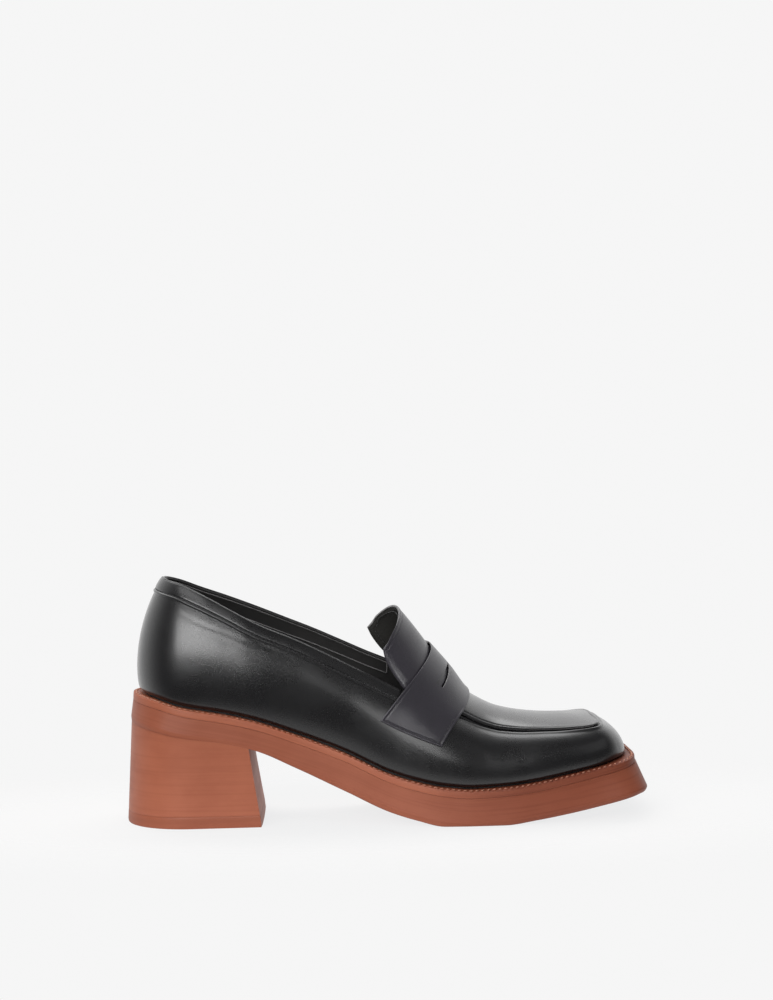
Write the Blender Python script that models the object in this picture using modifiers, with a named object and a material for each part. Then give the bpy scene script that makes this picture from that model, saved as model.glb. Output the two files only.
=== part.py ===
"""Loafer pump for the right foot: leather upper with a saddle strap, welted sole and block heel.

Lengths below are millimetres. x runs from the back of the heel to the toe, y from the lateral side
(negative) to the medial side, and z up from the floor. The finished solids are in metres, with the
origin on the floor under the middle of the shoe's box.
"""

import bmesh
import bpy
import numpy as np

NAME = "loafer_pump"
MM = 0.001
SEAM_MERGE = 0.000002
SHARP_ANGLE = 40.0

# Driving sizes of the shoe
MIDDLE_X = 132.5
GAP = 0.3
WELT_THICKNESS = 4.0
WELT_MARGIN = 3.6
UPPER_WALL = 1.8
INSOLE_THICKNESS = 3.0
OVERLAY_THICKNESS = 1.2
BAND_HEIGHT = 7.5
BAND_THICKNESS = 0.9
STRAP_THICKNESS = 1.0
STRAP_SEAT = GAP * 3 + OVERLAY_THICKNESS
TOP_LIFT = 6.0
SOLE_EDGE_ROUND = 2.4
WELT_EDGE_ROUND = 0.5
BAND_BELOW_RIM = 0.4

# Plans: where each begins and ends along the shoe, and the length and fullness of its round ends
SOLE_BACK = 3.4
SOLE_FRONT = 258.7
SOLE_BACK_CAP = (32.0, 2.2)
WELT_FRONT_CAP = (24.0, 4.2)
OUTSOLE_FRONT_CAP = (26.0, 4.0)
FEATHER_BACK = 7.2
FEATHER_FRONT = 254.9
FEATHER_BACK_CAP = (29.0, 2.2)
FEATHER_FRONT_CAP = (26.0, 2.9)
COLLAR_BACK = 19.5
COLLAR_FRONT = 241.2
COLLAR_BACK_CAP = (24.0, 2.3)
COLLAR_FRONT_CAP = (10.0, 3.6)
INSOLE_BACK = 10.1
INSOLE_FRONT = 251.6
INSOLE_BACK_CAP = (27.0, 2.2)
INSOLE_FRONT_CAP = (24.0, 2.9)
INSOLE_MARGIN = 0.9

# The heel, at its seat and at the floor: back, breast and half width; and its breast's slant
HEEL_BACK = (2.2, -0.4)
HEEL_BREAST = (63.4, 69.6)
HEEL_HALF = (33.4, 32.2)
HEEL_BREAST_CAP = (0.6, 2.0)
HEEL_SKEW = 0.09
SEAT_FLAT_X = 62.0
SEAT_DROP = 0.5
BLOCK_DOWN = 0.87
LIFT_DOWN = 0.88

# How much of the sole's flare shows at each level: share, inset and share of the side's height
SOLE_LEVELS = ((0.15, 0.4, 0.0), (0.55, 0.0, 0.4), (1.0, 0.0, 0.82), (0.85, SOLE_EDGE_ROUND, 1.0))
BACK_FLARE = 0.4

# The walls lean out from a line along the shoe between these two places
SPINE_BACK = 45.0
SPINE_FRONT = 215.0

# How far the overlays stop short of the seam, as shares across and along
APRON_EDGE = 0.96
APRON_FRONT = 0.995
TONGUE_EDGE = 0.97

# Where the strap's ends come down from the apron onto the wall, as shares of its half length
STRAP_STEP = (0.80, 0.95)

# Where the parts of the upper begin and end, as a length on the topline and apron seam
THROAT_X = 148.0
STRAP_REAR_X = 138.0
STRAP_FRONT_X = 167.0
BAND_END_X = 137.0

# How the strap's ends run down the wall: back along the shoe, and as a share of the wall's height
STRAP_SWEEP = 11.4
STRAP_DROP_REAR = 0.46
STRAP_DROP_FRONT = 0.54
STRAP_ARCH_SHARE = 0.62

# The slot across the strap: a bow tie, as shares of the strap's width and of its length
SLOT_CENTRE = 0.425
SLOT_LENGTH = 0.53
SLOT_HALF_WIDTH = 0.012
SLOT_FLARE = 0.032
CUTTER_BELOW = 1.0
CUTTER_DEPTH = 7.0

# Number of faces along the shoe, across it, up the wall, and over the strap
ROWS_BEHIND = 14
ROWS_UNDER_STRAP = 3
ROWS_AHEAD = 8
ACROSS = 10
CROWDING = 1.4
WALL_ROWS = 6
BAND_ROWS = 14
TONGUE_ROWS = 6
STRAP_END_ROWS = 5
SLOT_ROWS = 8


class Table:
    """Named columns over x, read between rows by a smooth curve that never overshoots them."""

    def __init__(self, columns, rows):
        data = np.array(rows, float).T
        self.x = data[0]
        self.values = dict(zip(columns[1:], data[1:]))
        self.slopes = {name: self.row_slopes(column) for name, column in self.values.items()}

    def row_slopes(self, column):
        step = np.diff(self.x)
        rise = np.diff(column) / step
        slopes = np.concatenate(([rise[0]], np.zeros(len(rise) - 1), [rise[-1]]))
        for i in range(1, len(rise)):
            if rise[i - 1] * rise[i] > 0:
                before = 2 * step[i] + step[i - 1]
                after = step[i] + 2 * step[i - 1]
                slopes[i] = (before + after) / (before / rise[i - 1] + after / rise[i])
        return slopes

    def at(self, name, x):
        column = self.values[name]
        slopes = self.slopes[name]
        x = min(max(x, self.x[0]), self.x[-1])
        i = min(int(np.searchsorted(self.x, x, side="right")) - 1, len(self.x) - 2)
        h = self.x[i + 1] - self.x[i]
        t = (x - self.x[i]) / h
        rise = column[i + 1] - column[i]
        start = slopes[i] * h
        end = slopes[i + 1] * h
        return column[i] + t * (start + t * (3 * rise - 2 * start - end + t * (start + end - 2 * rise)))


# The welt's half widths, its top, the sole's underside, and how far the sole's side stands out below
SOLE = Table(("x", "lateral", "medial", "top", "bottom", "flare"), (
    (0.0, 33.0, 33.0, 66.9, 52.0, 3.6),
    (12.0, 33.0, 33.0, 64.9, 49.5, 2.4),
    (25.0, 33.0, 33.0, 61.3, 46.6, 1.0),
    (48.0, 33.0, 32.5, 57.1, 43.0, 0.5),
    (62.0, 33.0, 31.0, 53.8, 39.5, 0.5),
    (84.0, 32.5, 28.0, 46.1, 29.4, 0.5),
    (108.0, 34.5, 26.5, 36.7, 17.6, 0.5),
    (131.0, 39.5, 31.5, 25.9, 6.8, 0.7),
    (143.0, 42.8, 36.5, 22.3, 3.2, 0.8),
    (158.0, 45.5, 41.5, 19.2, 0.0, 1.0),
    (172.0, 46.5, 44.5, 18.1, 0.0, 1.0),
    (188.0, 46.3, 46.0, 18.8, 0.0, 1.0),
    (204.0, 44.8, 46.0, 20.5, 1.9, 1.4),
    (222.0, 41.8, 44.0, 23.6, 4.6, 2.2),
    (240.0, 38.0, 41.0, 27.0, 8.0, 3.8),
    (258.5, 35.0, 38.0, 31.2, 12.2, 6.2),
))

# The topline and, forward of the strap, the apron seam: half width and heights on either side
TOPLINE = Table(("x", "half", "lateral", "medial"), (
    (19.5, 20.5, 124.2, 124.2),
    (28.0, 21.0, 121.8, 121.3),
    (38.4, 22.0, 116.9, 117.0),
    (52.0, 23.5, 109.3, 112.0),
    (66.0, 25.0, 101.8, 106.5),
    (84.5, 26.3, 94.0, 98.8),
    (97.0, 27.0, 88.0, 93.6),
    (112.0, 27.5, 80.4, 86.8),
    (124.6, 28.0, 74.0, 81.0),
    (138.0, 28.3, 67.3, 75.2),
    (152.5, 28.6, 60.6, 66.0),
    (167.0, 29.0, 53.2, 56.2),
    (178.8, 29.2, 47.9, 49.6),
    (188.0, 29.3, 45.5, 46.4),
    (201.7, 29.2, 44.4, 44.7),
    (214.7, 28.8, 44.4, 44.4),
    (229.0, 28.2, 45.0, 45.0),
    (241.2, 27.5, 46.6, 46.6),
))

# The arches that close the forefoot over the foot: where each crosses the ridge, and its roundness
ARCHES = Table(("x", "ridge_x", "ridge_z", "roundness"), (
    (138.0, 153.8, 85.2, 0.55),
    (152.5, 163.8, 73.6, 0.55),
    (167.0, 173.3, 61.2, 0.60),
    (176.0, 180.6, 56.6, 0.68),
    (188.0, 190.0, 52.4, 0.78),
    (201.7, 202.5, 49.6, 0.85),
    (214.7, 215.0, 48.2, 0.90),
    (229.0, 229.0, 47.6, 0.90),
    (241.2, 241.2, 46.8, 0.90),
))

# The tongue above the strap, from the strap's rear edge (0) to its tip (1): side edges and ridge
TONGUE = Table(("share", "side_y", "lateral_x", "lateral_z", "medial_x", "medial_z", "ridge_x", "ridge_z"), (
    (0.0, 27.6, 138.0, 69.3, 138.0, 76.6, 153.8, 85.2),
    (0.35, 25.2, 133.4, 76.2, 132.2, 82.6, 149.3, 91.6),
    (0.7, 23.6, 130.0, 83.2, 127.6, 89.0, 144.2, 98.3),
    (1.0, 22.8, 128.9, 88.6, 125.2, 94.0, 138.1, 105.8),
))

# How far the wall swells past the straight line from sole to topline, and how much of it is upwards
SWELL = Table(("x", "amount", "lift"), (
    (10.0, 6.2, 0.0),
    (40.0, 5.6, 0.0),
    (80.0, 4.4, 0.0),
    (125.0, 4.6, 0.14),
    (165.0, 6.0, 0.42),
    (200.0, 6.0, 0.55),
    (235.0, 4.6, 0.64),
    (250.0, 3.6, 0.66),
))
SWELL_FULLNESS = 0.8


def mix(a, b, t):
    return a + (b - a) * t


class Outline:
    """A closed plan shape between rounded ends: a point on it is a share r of its length and v across."""

    END_SHARE = 0.3

    def __init__(self, back, front, half, back_cap, front_cap, skew=0.0):
        self.back = back
        self.front = front
        self.half = half
        self.back_cap = back_cap
        self.front_cap = front_cap
        self.skew = skew
        self.start = back + back_cap[0] * (1 - self.corner(back_cap))
        self.end = front - front_cap[0] * (1 - self.corner(front_cap))

    @staticmethod
    def corner(cap):
        return 0.5 ** (1 / cap[1])

    def cap_width(self, x):
        width = 1.0
        for reach, cap in ((x - self.back, self.back_cap), (self.front - x, self.front_cap)):
            if reach < cap[0]:
                width *= (1 - (1 - reach / cap[0]) ** cap[1]) ** (1 / cap[1])
        return width

    def share(self, x):
        return (x - self.start) / (self.end - self.start)

    def end_reach(self, cap, v):
        corner = self.corner(cap)
        return cap[0] * ((1 - (corner * abs(v)) ** cap[1]) ** (1 / cap[1]) - corner)

    def point(self, r, v):
        x = mix(self.start, self.end, r)
        y = v * self.half("lateral" if v < 0 else "medial", x) * self.cap_width(x)
        x -= max(0.0, 1 - r / self.END_SHARE) ** 2 * self.end_reach(self.back_cap, v)
        x += max(0.0, 1 - (1 - r) / self.END_SHARE) ** 2 * self.end_reach(self.front_cap, v)
        return x + self.skew * y * max(0.0, 1 - (1 - r) / self.END_SHARE), y


def sole_outline(inset):
    half = lambda side, x: SOLE.at(side, x) - inset
    return Outline(SOLE_BACK + inset, SOLE_FRONT - inset, half, SOLE_BACK_CAP, WELT_FRONT_CAP)


FEATHER = Outline(
    FEATHER_BACK, FEATHER_FRONT, lambda side, x: SOLE.at(side, x) - WELT_MARGIN,
    FEATHER_BACK_CAP, FEATHER_FRONT_CAP,
)
COLLAR = Outline(
    COLLAR_BACK, COLLAR_FRONT, lambda side, x: TOPLINE.at("half", x), COLLAR_BACK_CAP, COLLAR_FRONT_CAP,
)


def ease(t):
    """A share from 0 to 1 that crowds gently towards both ends."""
    return 0.6 * t + 0.2 * (1 - np.cos(np.pi * t))


THROAT_R = COLLAR.share(THROAT_X)
FRONT_R = COLLAR.share(STRAP_FRONT_X)
ROOT_GAP_R = 0.004
ROWS = np.concatenate((
    [THROAT_R * ease(i / ROWS_BEHIND) for i in range(ROWS_BEHIND)],
    [mix(THROAT_R, FRONT_R, i / ROWS_UNDER_STRAP) for i in range(ROWS_UNDER_STRAP)],
    [mix(FRONT_R, 1.0, ease(i / ROWS_AHEAD)) for i in range(ROWS_AHEAD + 1)],
))
COLUMNS = np.sin(np.linspace(-CROWDING, CROWDING, ACROSS + 1)) / np.sin(CROWDING)
ROOT_ROW = ROWS_BEHIND + 2


def around():
    """The places (r, v) round an outline: lateral side to the back, over it, medial side, toe."""
    lateral = [(r, -1.0) for r in ROWS[::-1]]
    back = [(0.0, v) for v in COLUMNS[1:]]
    medial = [(r, 1.0) for r in ROWS[1:]]
    toe = [(1.0, v) for v in COLUMNS[-2::-1]]
    return lateral + back + medial + toe


def arch_point(r, v):
    """A point on the skin that closes the forefoot, v across it from seam to seam."""
    straight = mix(COLLAR.start, COLLAR.end, r)
    x, y = COLLAR.point(r, v)
    height = (1 - v * v) ** ARCHES.at("roundness", straight)
    lateral = TOPLINE.at("lateral", straight)
    medial = TOPLINE.at("medial", straight)
    x += (ARCHES.at("ridge_x", straight) - straight) * height
    z = mix(lateral, medial, (v + 1) / 2) + (ARCHES.at("ridge_z", straight) - (lateral + medial) / 2) * height
    return np.array((x, y, z))


def rim_point(r, v):
    """The wall's top edge: topline at the back and sides, apron seam round the toe."""
    if r >= THROAT_R:
        return arch_point(r, v)
    x, y = COLLAR.point(r, v)
    return np.array((x, y, mix(TOPLINE.at("lateral", x), TOPLINE.at("medial", x), (v + 1) / 2)))


def wall_point(r, v, t):
    """A point on the wall's outside, t from the feather edge (0) to the rim (1)."""
    x, y = FEATHER.point(r, v)
    foot = np.array((x, y, SOLE.at("top", x) + GAP))
    rim = rim_point(r, v)
    middle = (foot + rim) / 2
    spine_x = min(max(middle[0], SPINE_BACK), SPINE_FRONT)
    outward = np.array((middle[0] - spine_x, middle[1], 0.0))
    outward /= np.linalg.norm(outward)
    outward[2] = SWELL.at("lift", middle[0])
    outward /= np.linalg.norm(outward)
    swell = SWELL.at("amount", middle[0]) * max(0.0, 4 * t * (1 - t)) ** SWELL_FULLNESS
    return mix(foot, rim, t) + outward * swell


def tongue_point(share, u):
    """A point on the tongue above the strap, u across it from edge to edge."""
    height = (1 - u * u) ** 0.5
    side = np.array((
        mix(TONGUE.at("lateral_x", share), TONGUE.at("medial_x", share), (u + 1) / 2),
        u * TONGUE.at("side_y", share),
        mix(TONGUE.at("lateral_z", share), TONGUE.at("medial_z", share), (u + 1) / 2),
    ))
    middle_x = (TONGUE.at("lateral_x", share) + TONGUE.at("medial_x", share)) / 2
    middle_z = (TONGUE.at("lateral_z", share) + TONGUE.at("medial_z", share)) / 2
    side[0] += (TONGUE.at("ridge_x", share) - middle_x) * height
    side[2] += (TONGUE.at("ridge_z", share) - middle_z) * height
    return side


def strap_point(share, w):
    """A point under the strap, share from its rear to its front edge, w from -1 to 1 end to end."""
    base = mix(STRAP_REAR_X, STRAP_FRONT_X, share)
    if abs(w) <= STRAP_ARCH_SHARE:
        return arch_point(COLLAR.share(base), w / STRAP_ARCH_SHARE)
    down = (abs(w) - STRAP_ARCH_SHARE) / (1 - STRAP_ARCH_SHARE)
    drop = mix(STRAP_DROP_REAR, STRAP_DROP_FRONT, share) * down
    return wall_point(COLLAR.share(base - STRAP_SWEEP * down), np.sign(w), 1 - drop)


def surface(place, rows, columns):
    """The points place(row, column) as an array, rows along its first axis."""
    return np.array([[place(row, column) for column in columns] for row in rows])


def raised(points, distance):
    """The same points moved off their surface, by one distance or by one for each column."""
    normal = np.cross(np.gradient(points, axis=0), np.gradient(points, axis=1))
    normal /= np.linalg.norm(normal, axis=2, keepdims=True)
    return points + normal * np.reshape(distance, (1, -1, 1))


def add_grid(mesh, points):
    """Lays a flat grid and moves its vertices onto an array of points."""
    rows, columns = points.shape[:2]
    made = bmesh.ops.create_grid(mesh, x_segments=rows - 1, y_segments=columns - 1, size=1.0)
    for vertex in made["verts"]:
        i = round((vertex.co.x + 1) / 2 * (rows - 1))
        j = round((vertex.co.y + 1) / 2 * (columns - 1))
        vertex.co = (points[i, j] - (MIDDLE_X, 0.0, 0.0)) * MM


def join_seams(mesh):
    bmesh.ops.remove_doubles(mesh, verts=mesh.verts, dist=SEAM_MERGE)
    bmesh.ops.dissolve_degenerate(mesh, edges=mesh.edges, dist=SEAM_MERGE)


def finish(mesh, name, color, roughness, closed):
    """Turns a bmesh into a smooth named object with its own leather."""
    join_seams(mesh)
    if closed:
        bmesh.ops.recalc_face_normals(mesh, faces=mesh.faces)
    data = bpy.data.meshes.new(name)
    mesh.to_mesh(data)
    mesh.free()
    data.shade_smooth()
    data.set_sharp_from_angle(angle=np.radians(SHARP_ANGLE))
    material = bpy.data.materials.new(name + "_leather")
    material.use_nodes = True
    shader = material.node_tree.nodes["Principled BSDF"]
    shader.inputs["Base Color"].default_value = (*color, 1.0)
    shader.inputs["Roughness"].default_value = roughness
    shader.inputs["Metallic"].default_value = 0.0
    data.materials.append(material)
    shape = bpy.data.objects.new(name, data)
    PARTS.objects.link(shape)
    return shape


def thicken(shape, thickness, offset):
    """Gives an open surface its thickness, outwards (1) or inwards (-1)."""
    wall = shape.modifiers.new("thickness", "SOLIDIFY")
    wall.thickness = thickness * MM
    wall.offset = offset
    wall.use_rim = True
    return wall


def slab(name, outlines, heights, color, roughness):
    """A solid between a top and a bottom face, with a ring of side faces for each further level."""
    mesh = bmesh.new()

    def place(level, r, v):
        x, y = outlines[level].point(r, v)
        return np.array((x, y, heights[level](x)))

    for level in (0, len(outlines) - 1):
        add_grid(mesh, surface(lambda r, v: place(level, r, v), ROWS, COLUMNS))
    levels = range(len(outlines))
    add_grid(mesh, surface(lambda level, spot: place(level, *spot), levels, around()))
    return finish(mesh, name, color, roughness, closed=True)


def build_outsole():
    """The sole under the welt: it stands out towards its lower edge, which is rounded."""
    top = lambda x: SOLE.at("top", x) - WELT_THICKNESS - GAP
    bottom = lambda x: SOLE.at("bottom", x)

    def outline(flare, inset):
        half = lambda side, x: SOLE.at(side, x) + flare * SOLE.at("flare", x) - inset
        back = SOLE_BACK - flare * SOLE.at("flare", SOLE_BACK) * BACK_FLARE + inset
        front = SOLE_FRONT + flare * SOLE.at("flare", SOLE_FRONT) - inset
        return Outline(back, front, half, SOLE_BACK_CAP, OUTSOLE_FRONT_CAP)

    outlines = [outline(flare, inset) for flare, inset, down in SOLE_LEVELS]
    heights = [lambda x, down=down: mix(top(x), bottom(x), down) for flare, inset, down in SOLE_LEVELS]
    return slab("outsole", outlines, heights, (0.34, 0.115, 0.055), 0.42)


def build_welt():
    """The strip of leather that shows round the upper, on top of the outsole."""
    outlines = [sole_outline(WELT_EDGE_ROUND), sole_outline(0.0), sole_outline(-GAP)]
    heights = [
        lambda x: SOLE.at("top", x),
        lambda x: SOLE.at("top", x) - WELT_EDGE_ROUND,
        lambda x: SOLE.at("top", x) - WELT_THICKNESS,
    ]
    return slab("welt", outlines, heights, (0.40, 0.135, 0.06), 0.45)


def build_insole():
    """The footbed inside the upper."""
    inset = WELT_MARGIN + UPPER_WALL + INSOLE_MARGIN
    half = lambda side, x: SOLE.at(side, x) - inset
    outline = Outline(INSOLE_BACK, INSOLE_FRONT, half, INSOLE_BACK_CAP, INSOLE_FRONT_CAP)
    heights = [lambda x: SOLE.at("top", x) + GAP + INSOLE_THICKNESS, lambda x: SOLE.at("top", x) + GAP]
    return slab("insole", [outline, outline], heights, (0.03, 0.028, 0.027), 0.6)


def heel_outline(down):
    """The heel's plan, from its seat (0) to the floor (1); its breast reaches further on the medial side."""
    half = lambda side, x: mix(*HEEL_HALF, down)
    back = mix(*HEEL_BACK, down)
    return Outline(back, mix(*HEEL_BREAST, down), half, SOLE_BACK_CAP, HEEL_BREAST_CAP, skew=HEEL_SKEW)


def build_heel():
    """The stacked block under the seat of the outsole."""
    seat = lambda x: SOLE.at("bottom", min(x, SEAT_FLAT_X)) - GAP - max(0.0, x - SEAT_FLAT_X) * SEAT_DROP
    foot = TOP_LIFT + GAP
    levels = (0.0, 0.5, 1.0)
    outlines = [heel_outline(down * BLOCK_DOWN) for down in levels]
    heights = [lambda x, down=down: mix(seat(x), foot, down) for down in levels]
    return slab("heel_block", outlines, heights, (0.40, 0.135, 0.06), 0.4)


def build_top_lift():
    """The flat wearing piece under the heel."""
    outlines = [heel_outline(LIFT_DOWN), heel_outline(1.0)]
    return slab("top_lift", outlines, [lambda x: TOP_LIFT, lambda x: 0.0], (0.30, 0.10, 0.05), 0.5)


def build_upper():
    """One hollow skin: the wall all round and the arches over the forefoot, open at throat and sole."""
    mesh = bmesh.new()
    shares = np.linspace(0.0, 1.0, WALL_ROWS + 1)
    add_grid(mesh, surface(lambda t, spot: wall_point(*spot, t), shares, around()))
    add_grid(mesh, surface(arch_point, ROWS[ROWS_BEHIND:], COLUMNS))
    upper = finish(mesh, "upper", (0.018, 0.018, 0.019), 0.38, closed=False)
    thicken(upper, UPPER_WALL, -1.0)
    return upper


def build_apron():
    """The raised plug on top of the toes, inside the seam."""
    mesh = bmesh.new()
    columns = np.clip(COLUMNS, -APRON_EDGE, APRON_EDGE)
    rows = np.minimum(ROWS[ROOT_ROW:], APRON_FRONT)
    rows[0] += ROOT_GAP_R
    points = surface(arch_point, rows, columns)
    add_grid(mesh, raised(points, GAP))
    apron = finish(mesh, "apron", (0.022, 0.022, 0.023), 0.4, closed=False)
    thicken(apron, OVERLAY_THICKNESS, 1.0)
    return apron


def build_tongue():
    """The tongue, rooted under the strap and flared into two round ears above it."""
    mesh = bmesh.new()
    columns = np.clip(COLUMNS, -TONGUE_EDGE, TONGUE_EDGE)
    rows = np.append(ROWS[ROOT_ROW:ROWS_BEHIND - 1:-1], COLLAR.share(STRAP_REAR_X))
    rooted = surface(arch_point, rows, columns)
    free = surface(tongue_point, np.linspace(0.0, 1.0, TONGUE_ROWS + 1)[1:], COLUMNS)
    points = np.concatenate((rooted, free))[::-1]
    add_grid(mesh, raised(points, GAP))
    tongue = finish(mesh, "tongue", (0.035, 0.033, 0.038), 0.45, closed=False)
    thicken(tongue, OVERLAY_THICKNESS, 1.0)
    return tongue


def build_collar_band():
    """The folded strip under the topline, from one end of the strap round the heel to the other."""
    mesh = bmesh.new()
    last = COLLAR.share(BAND_END_X)
    sides = np.array([last * ease(i / BAND_ROWS) for i in range(BAND_ROWS + 1)])
    spots = [(r, -1.0) for r in sides[::-1]] + [(0.0, v) for v in COLUMNS[1:]] + [(r, 1.0) for r in sides[1:]]

    def place(share, spot):
        height = np.linalg.norm(wall_point(*spot, 1.0) - wall_point(*spot, 0.0))
        return wall_point(*spot, 1 - mix(BAND_HEIGHT, BAND_BELOW_RIM, share) / height)

    add_grid(mesh, raised(surface(place, (0.0, 0.5, 1.0), spots), GAP))
    band = finish(mesh, "collar_band", (0.018, 0.018, 0.019), 0.38, closed=False)
    thicken(band, BAND_THICKNESS, 1.0)
    return band


def build_strap():
    """The saddle strap over the instep, seated on the wall at its ends and on the apron between them."""
    mesh = bmesh.new()
    ends = np.linspace(STRAP_ARCH_SHARE, 1.0, STRAP_END_ROWS + 1)
    across = np.concatenate((-ends[:0:-1], COLUMNS * STRAP_ARCH_SHARE, ends[1:]))
    seat = np.interp(np.abs(across), STRAP_STEP, (STRAP_SEAT, GAP))
    bases = mix(COLLAR.start, COLLAR.end, ROWS[ROWS_BEHIND:ROWS_BEHIND + ROWS_UNDER_STRAP])
    shares = [0.0, *((bases - STRAP_REAR_X) / (STRAP_FRONT_X - STRAP_REAR_X)), 1.0]
    points = surface(strap_point, shares, across)
    add_grid(mesh, raised(points, seat))
    strap = finish(mesh, "saddle_strap", (0.035, 0.033, 0.038), 0.42, closed=False)
    thicken(strap, STRAP_THICKNESS, 1.0)
    cut = strap.modifiers.new("slot", "BOOLEAN")
    cut.operation = "DIFFERENCE"
    cut.solver = "EXACT"
    cut.object = build_slot_cutter()
    return strap


def build_slot_cutter():
    """The wedge-ended slit that is cut through the strap across the ridge."""
    mesh = bmesh.new()
    across = np.linspace(-SLOT_LENGTH, SLOT_LENGTH, SLOT_ROWS + 1)
    half = SLOT_HALF_WIDTH + SLOT_FLARE * np.abs(across) / SLOT_LENGTH
    sides = [[strap_point(SLOT_CENTRE + side * h, w) for w, h in zip(across, half)] for side in (-1, 1)]
    add_grid(mesh, raised(np.array(sides), -CUTTER_BELOW))
    slot = finish(mesh, "slot_cutter", (0.5, 0.5, 0.5), 0.5, closed=False)
    thicken(slot, CUTTER_DEPTH, 1.0)
    PARTS.objects.unlink(slot)
    CUTTERS.objects.link(slot)
    slot.hide_render = True
    slot.display_type = "WIRE"
    return slot


for old in list(bpy.data.objects):
    bpy.data.objects.remove(old, do_unlink=True)

PARTS = bpy.data.collections.new(NAME)
bpy.context.scene.collection.children.link(PARTS)
CUTTERS = bpy.data.collections.new(NAME + "_cutters")
bpy.context.scene.collection.children.link(CUTTERS)

build_top_lift()
build_heel()
build_outsole()
build_welt()
build_insole()
build_upper()
build_collar_band()
build_apron()
build_tongue()
build_strap()
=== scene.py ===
"""Loafer pump for the right foot: black leather over a stitched cognac sole and a stacked block heel.

Shapes are worked out in millimetres: x from the back of the heel to the toe, y from the lateral side
(negative) to the medial side, z up from the floor. They become metres, centred, as a mesh is laid.
"""

import logging
import math
from dataclasses import dataclass, field
from enum import Enum
from typing import Callable, Sequence

import bmesh
import bpy
import numpy as np
from mathutils import Matrix, Vector


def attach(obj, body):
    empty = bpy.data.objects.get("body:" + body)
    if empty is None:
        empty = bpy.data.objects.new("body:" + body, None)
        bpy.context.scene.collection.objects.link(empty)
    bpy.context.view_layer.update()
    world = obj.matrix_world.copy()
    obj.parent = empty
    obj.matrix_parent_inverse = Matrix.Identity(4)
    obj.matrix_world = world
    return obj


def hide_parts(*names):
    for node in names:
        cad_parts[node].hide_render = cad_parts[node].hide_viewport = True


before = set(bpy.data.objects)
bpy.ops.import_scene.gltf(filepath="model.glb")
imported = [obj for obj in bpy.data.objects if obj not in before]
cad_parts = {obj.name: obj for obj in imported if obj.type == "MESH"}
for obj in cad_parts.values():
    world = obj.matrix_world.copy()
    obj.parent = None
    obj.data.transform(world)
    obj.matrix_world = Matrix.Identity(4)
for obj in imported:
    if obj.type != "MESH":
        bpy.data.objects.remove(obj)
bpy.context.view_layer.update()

LOG = logging.getLogger("loafer_pump")
MM = 0.001
ORIGIN = np.array((132.5, 0.0, 0.0))
MERGE = 0.000002

Array = np.ndarray
Colour = tuple[float, float, float]
Surface = Callable[[Array, Array], Array]

# Driving sizes, in millimetres
GAP = 0.3
WELT_THICKNESS = 4.0
WELT_MARGIN = 3.6
UPPER_WALL = 1.8
INSOLE_THICKNESS = 3.0
OVERLAY_THICKNESS = 1.2
BAND_HEIGHT = 7.5
STRAP_THICKNESS = 1.0
STRAP_SEAT = GAP * 3 + OVERLAY_THICKNESS
TOP_LIFT = 6.0
THROAT_X = 148.0
STRAP_REAR_X = 138.0
STRAP_FRONT_X = 167.0
BAND_END_X = 137.0
STRAP_SWEEP = 11.4
STRAP_DROP_REAR = 0.46
STRAP_DROP_FRONT = 0.54
STRAP_ARCH_SHARE = 0.62
SLOT_CENTRE = 0.425
SLOT_LENGTH = 0.53
SLOT_HALF_WIDTH = 0.012
SLOT_FLARE = 0.058
LIFT_GAP = 0.04
SOLE_GAP = 0.06
SOLE_BACK = 3.4
SOLE_FRONT = 258.7
HEEL_FRONT = 62.0
BACK_CAP = (32.0, 2.2)

# The crest in the upper leather's relief, as steps: start and end along the shoe in metres, and height
CREST = ((-0.0965, -0.0725, 1.9), (-0.0745, -0.0075, -6.0), (-0.04, 0.06, -13.0))

SHARP_EDGE = 50.0
CORD_SIDES = 10
UP = (0.0, 0.0, 1.0)


class Side(Enum):
    """The two sides of the shoe."""

    LATERAL = "lateral"
    MEDIAL = "medial"


class Slot(Enum):
    """The record's material slots."""

    HEEL = "heel_leather"
    SOLE = "sole_leather"
    WELT = "welt_leather"
    LINING = "lining_leather"
    UPPER = "upper_leather"
    STRAP = "strap_leather"


def mix(a: Array, b: Array, t: Array) -> Array:
    """Goes from a to b as t goes from 0 to 1."""
    return a + (b - a) * t


def ramp(value: Array, low: float, high: float) -> Array:
    """Rises smoothly from 0 at low to 1 at high."""
    t = np.clip((value - low) / (high - low), 0.0, 1.0)
    return t * t * (3 - 2 * t)


def bell(distance: Array, width: float) -> Array:
    """A soft bump: 1 at distance 0, fading over width."""
    return np.exp(-((distance / width) ** 2))


def ease(t: Array) -> Array:
    """A share from 0 to 1 that crowds gently towards both ends."""
    return 0.6 * t + 0.2 * (1 - np.cos(np.pi * t))


def crowd(count: int, reach: float = 1.4) -> Array:
    """Places from -1 to 1 that crowd towards both ends, as on an arc."""
    return np.sin(np.linspace(-reach, reach, count + 1)) / math.sin(reach)


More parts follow.
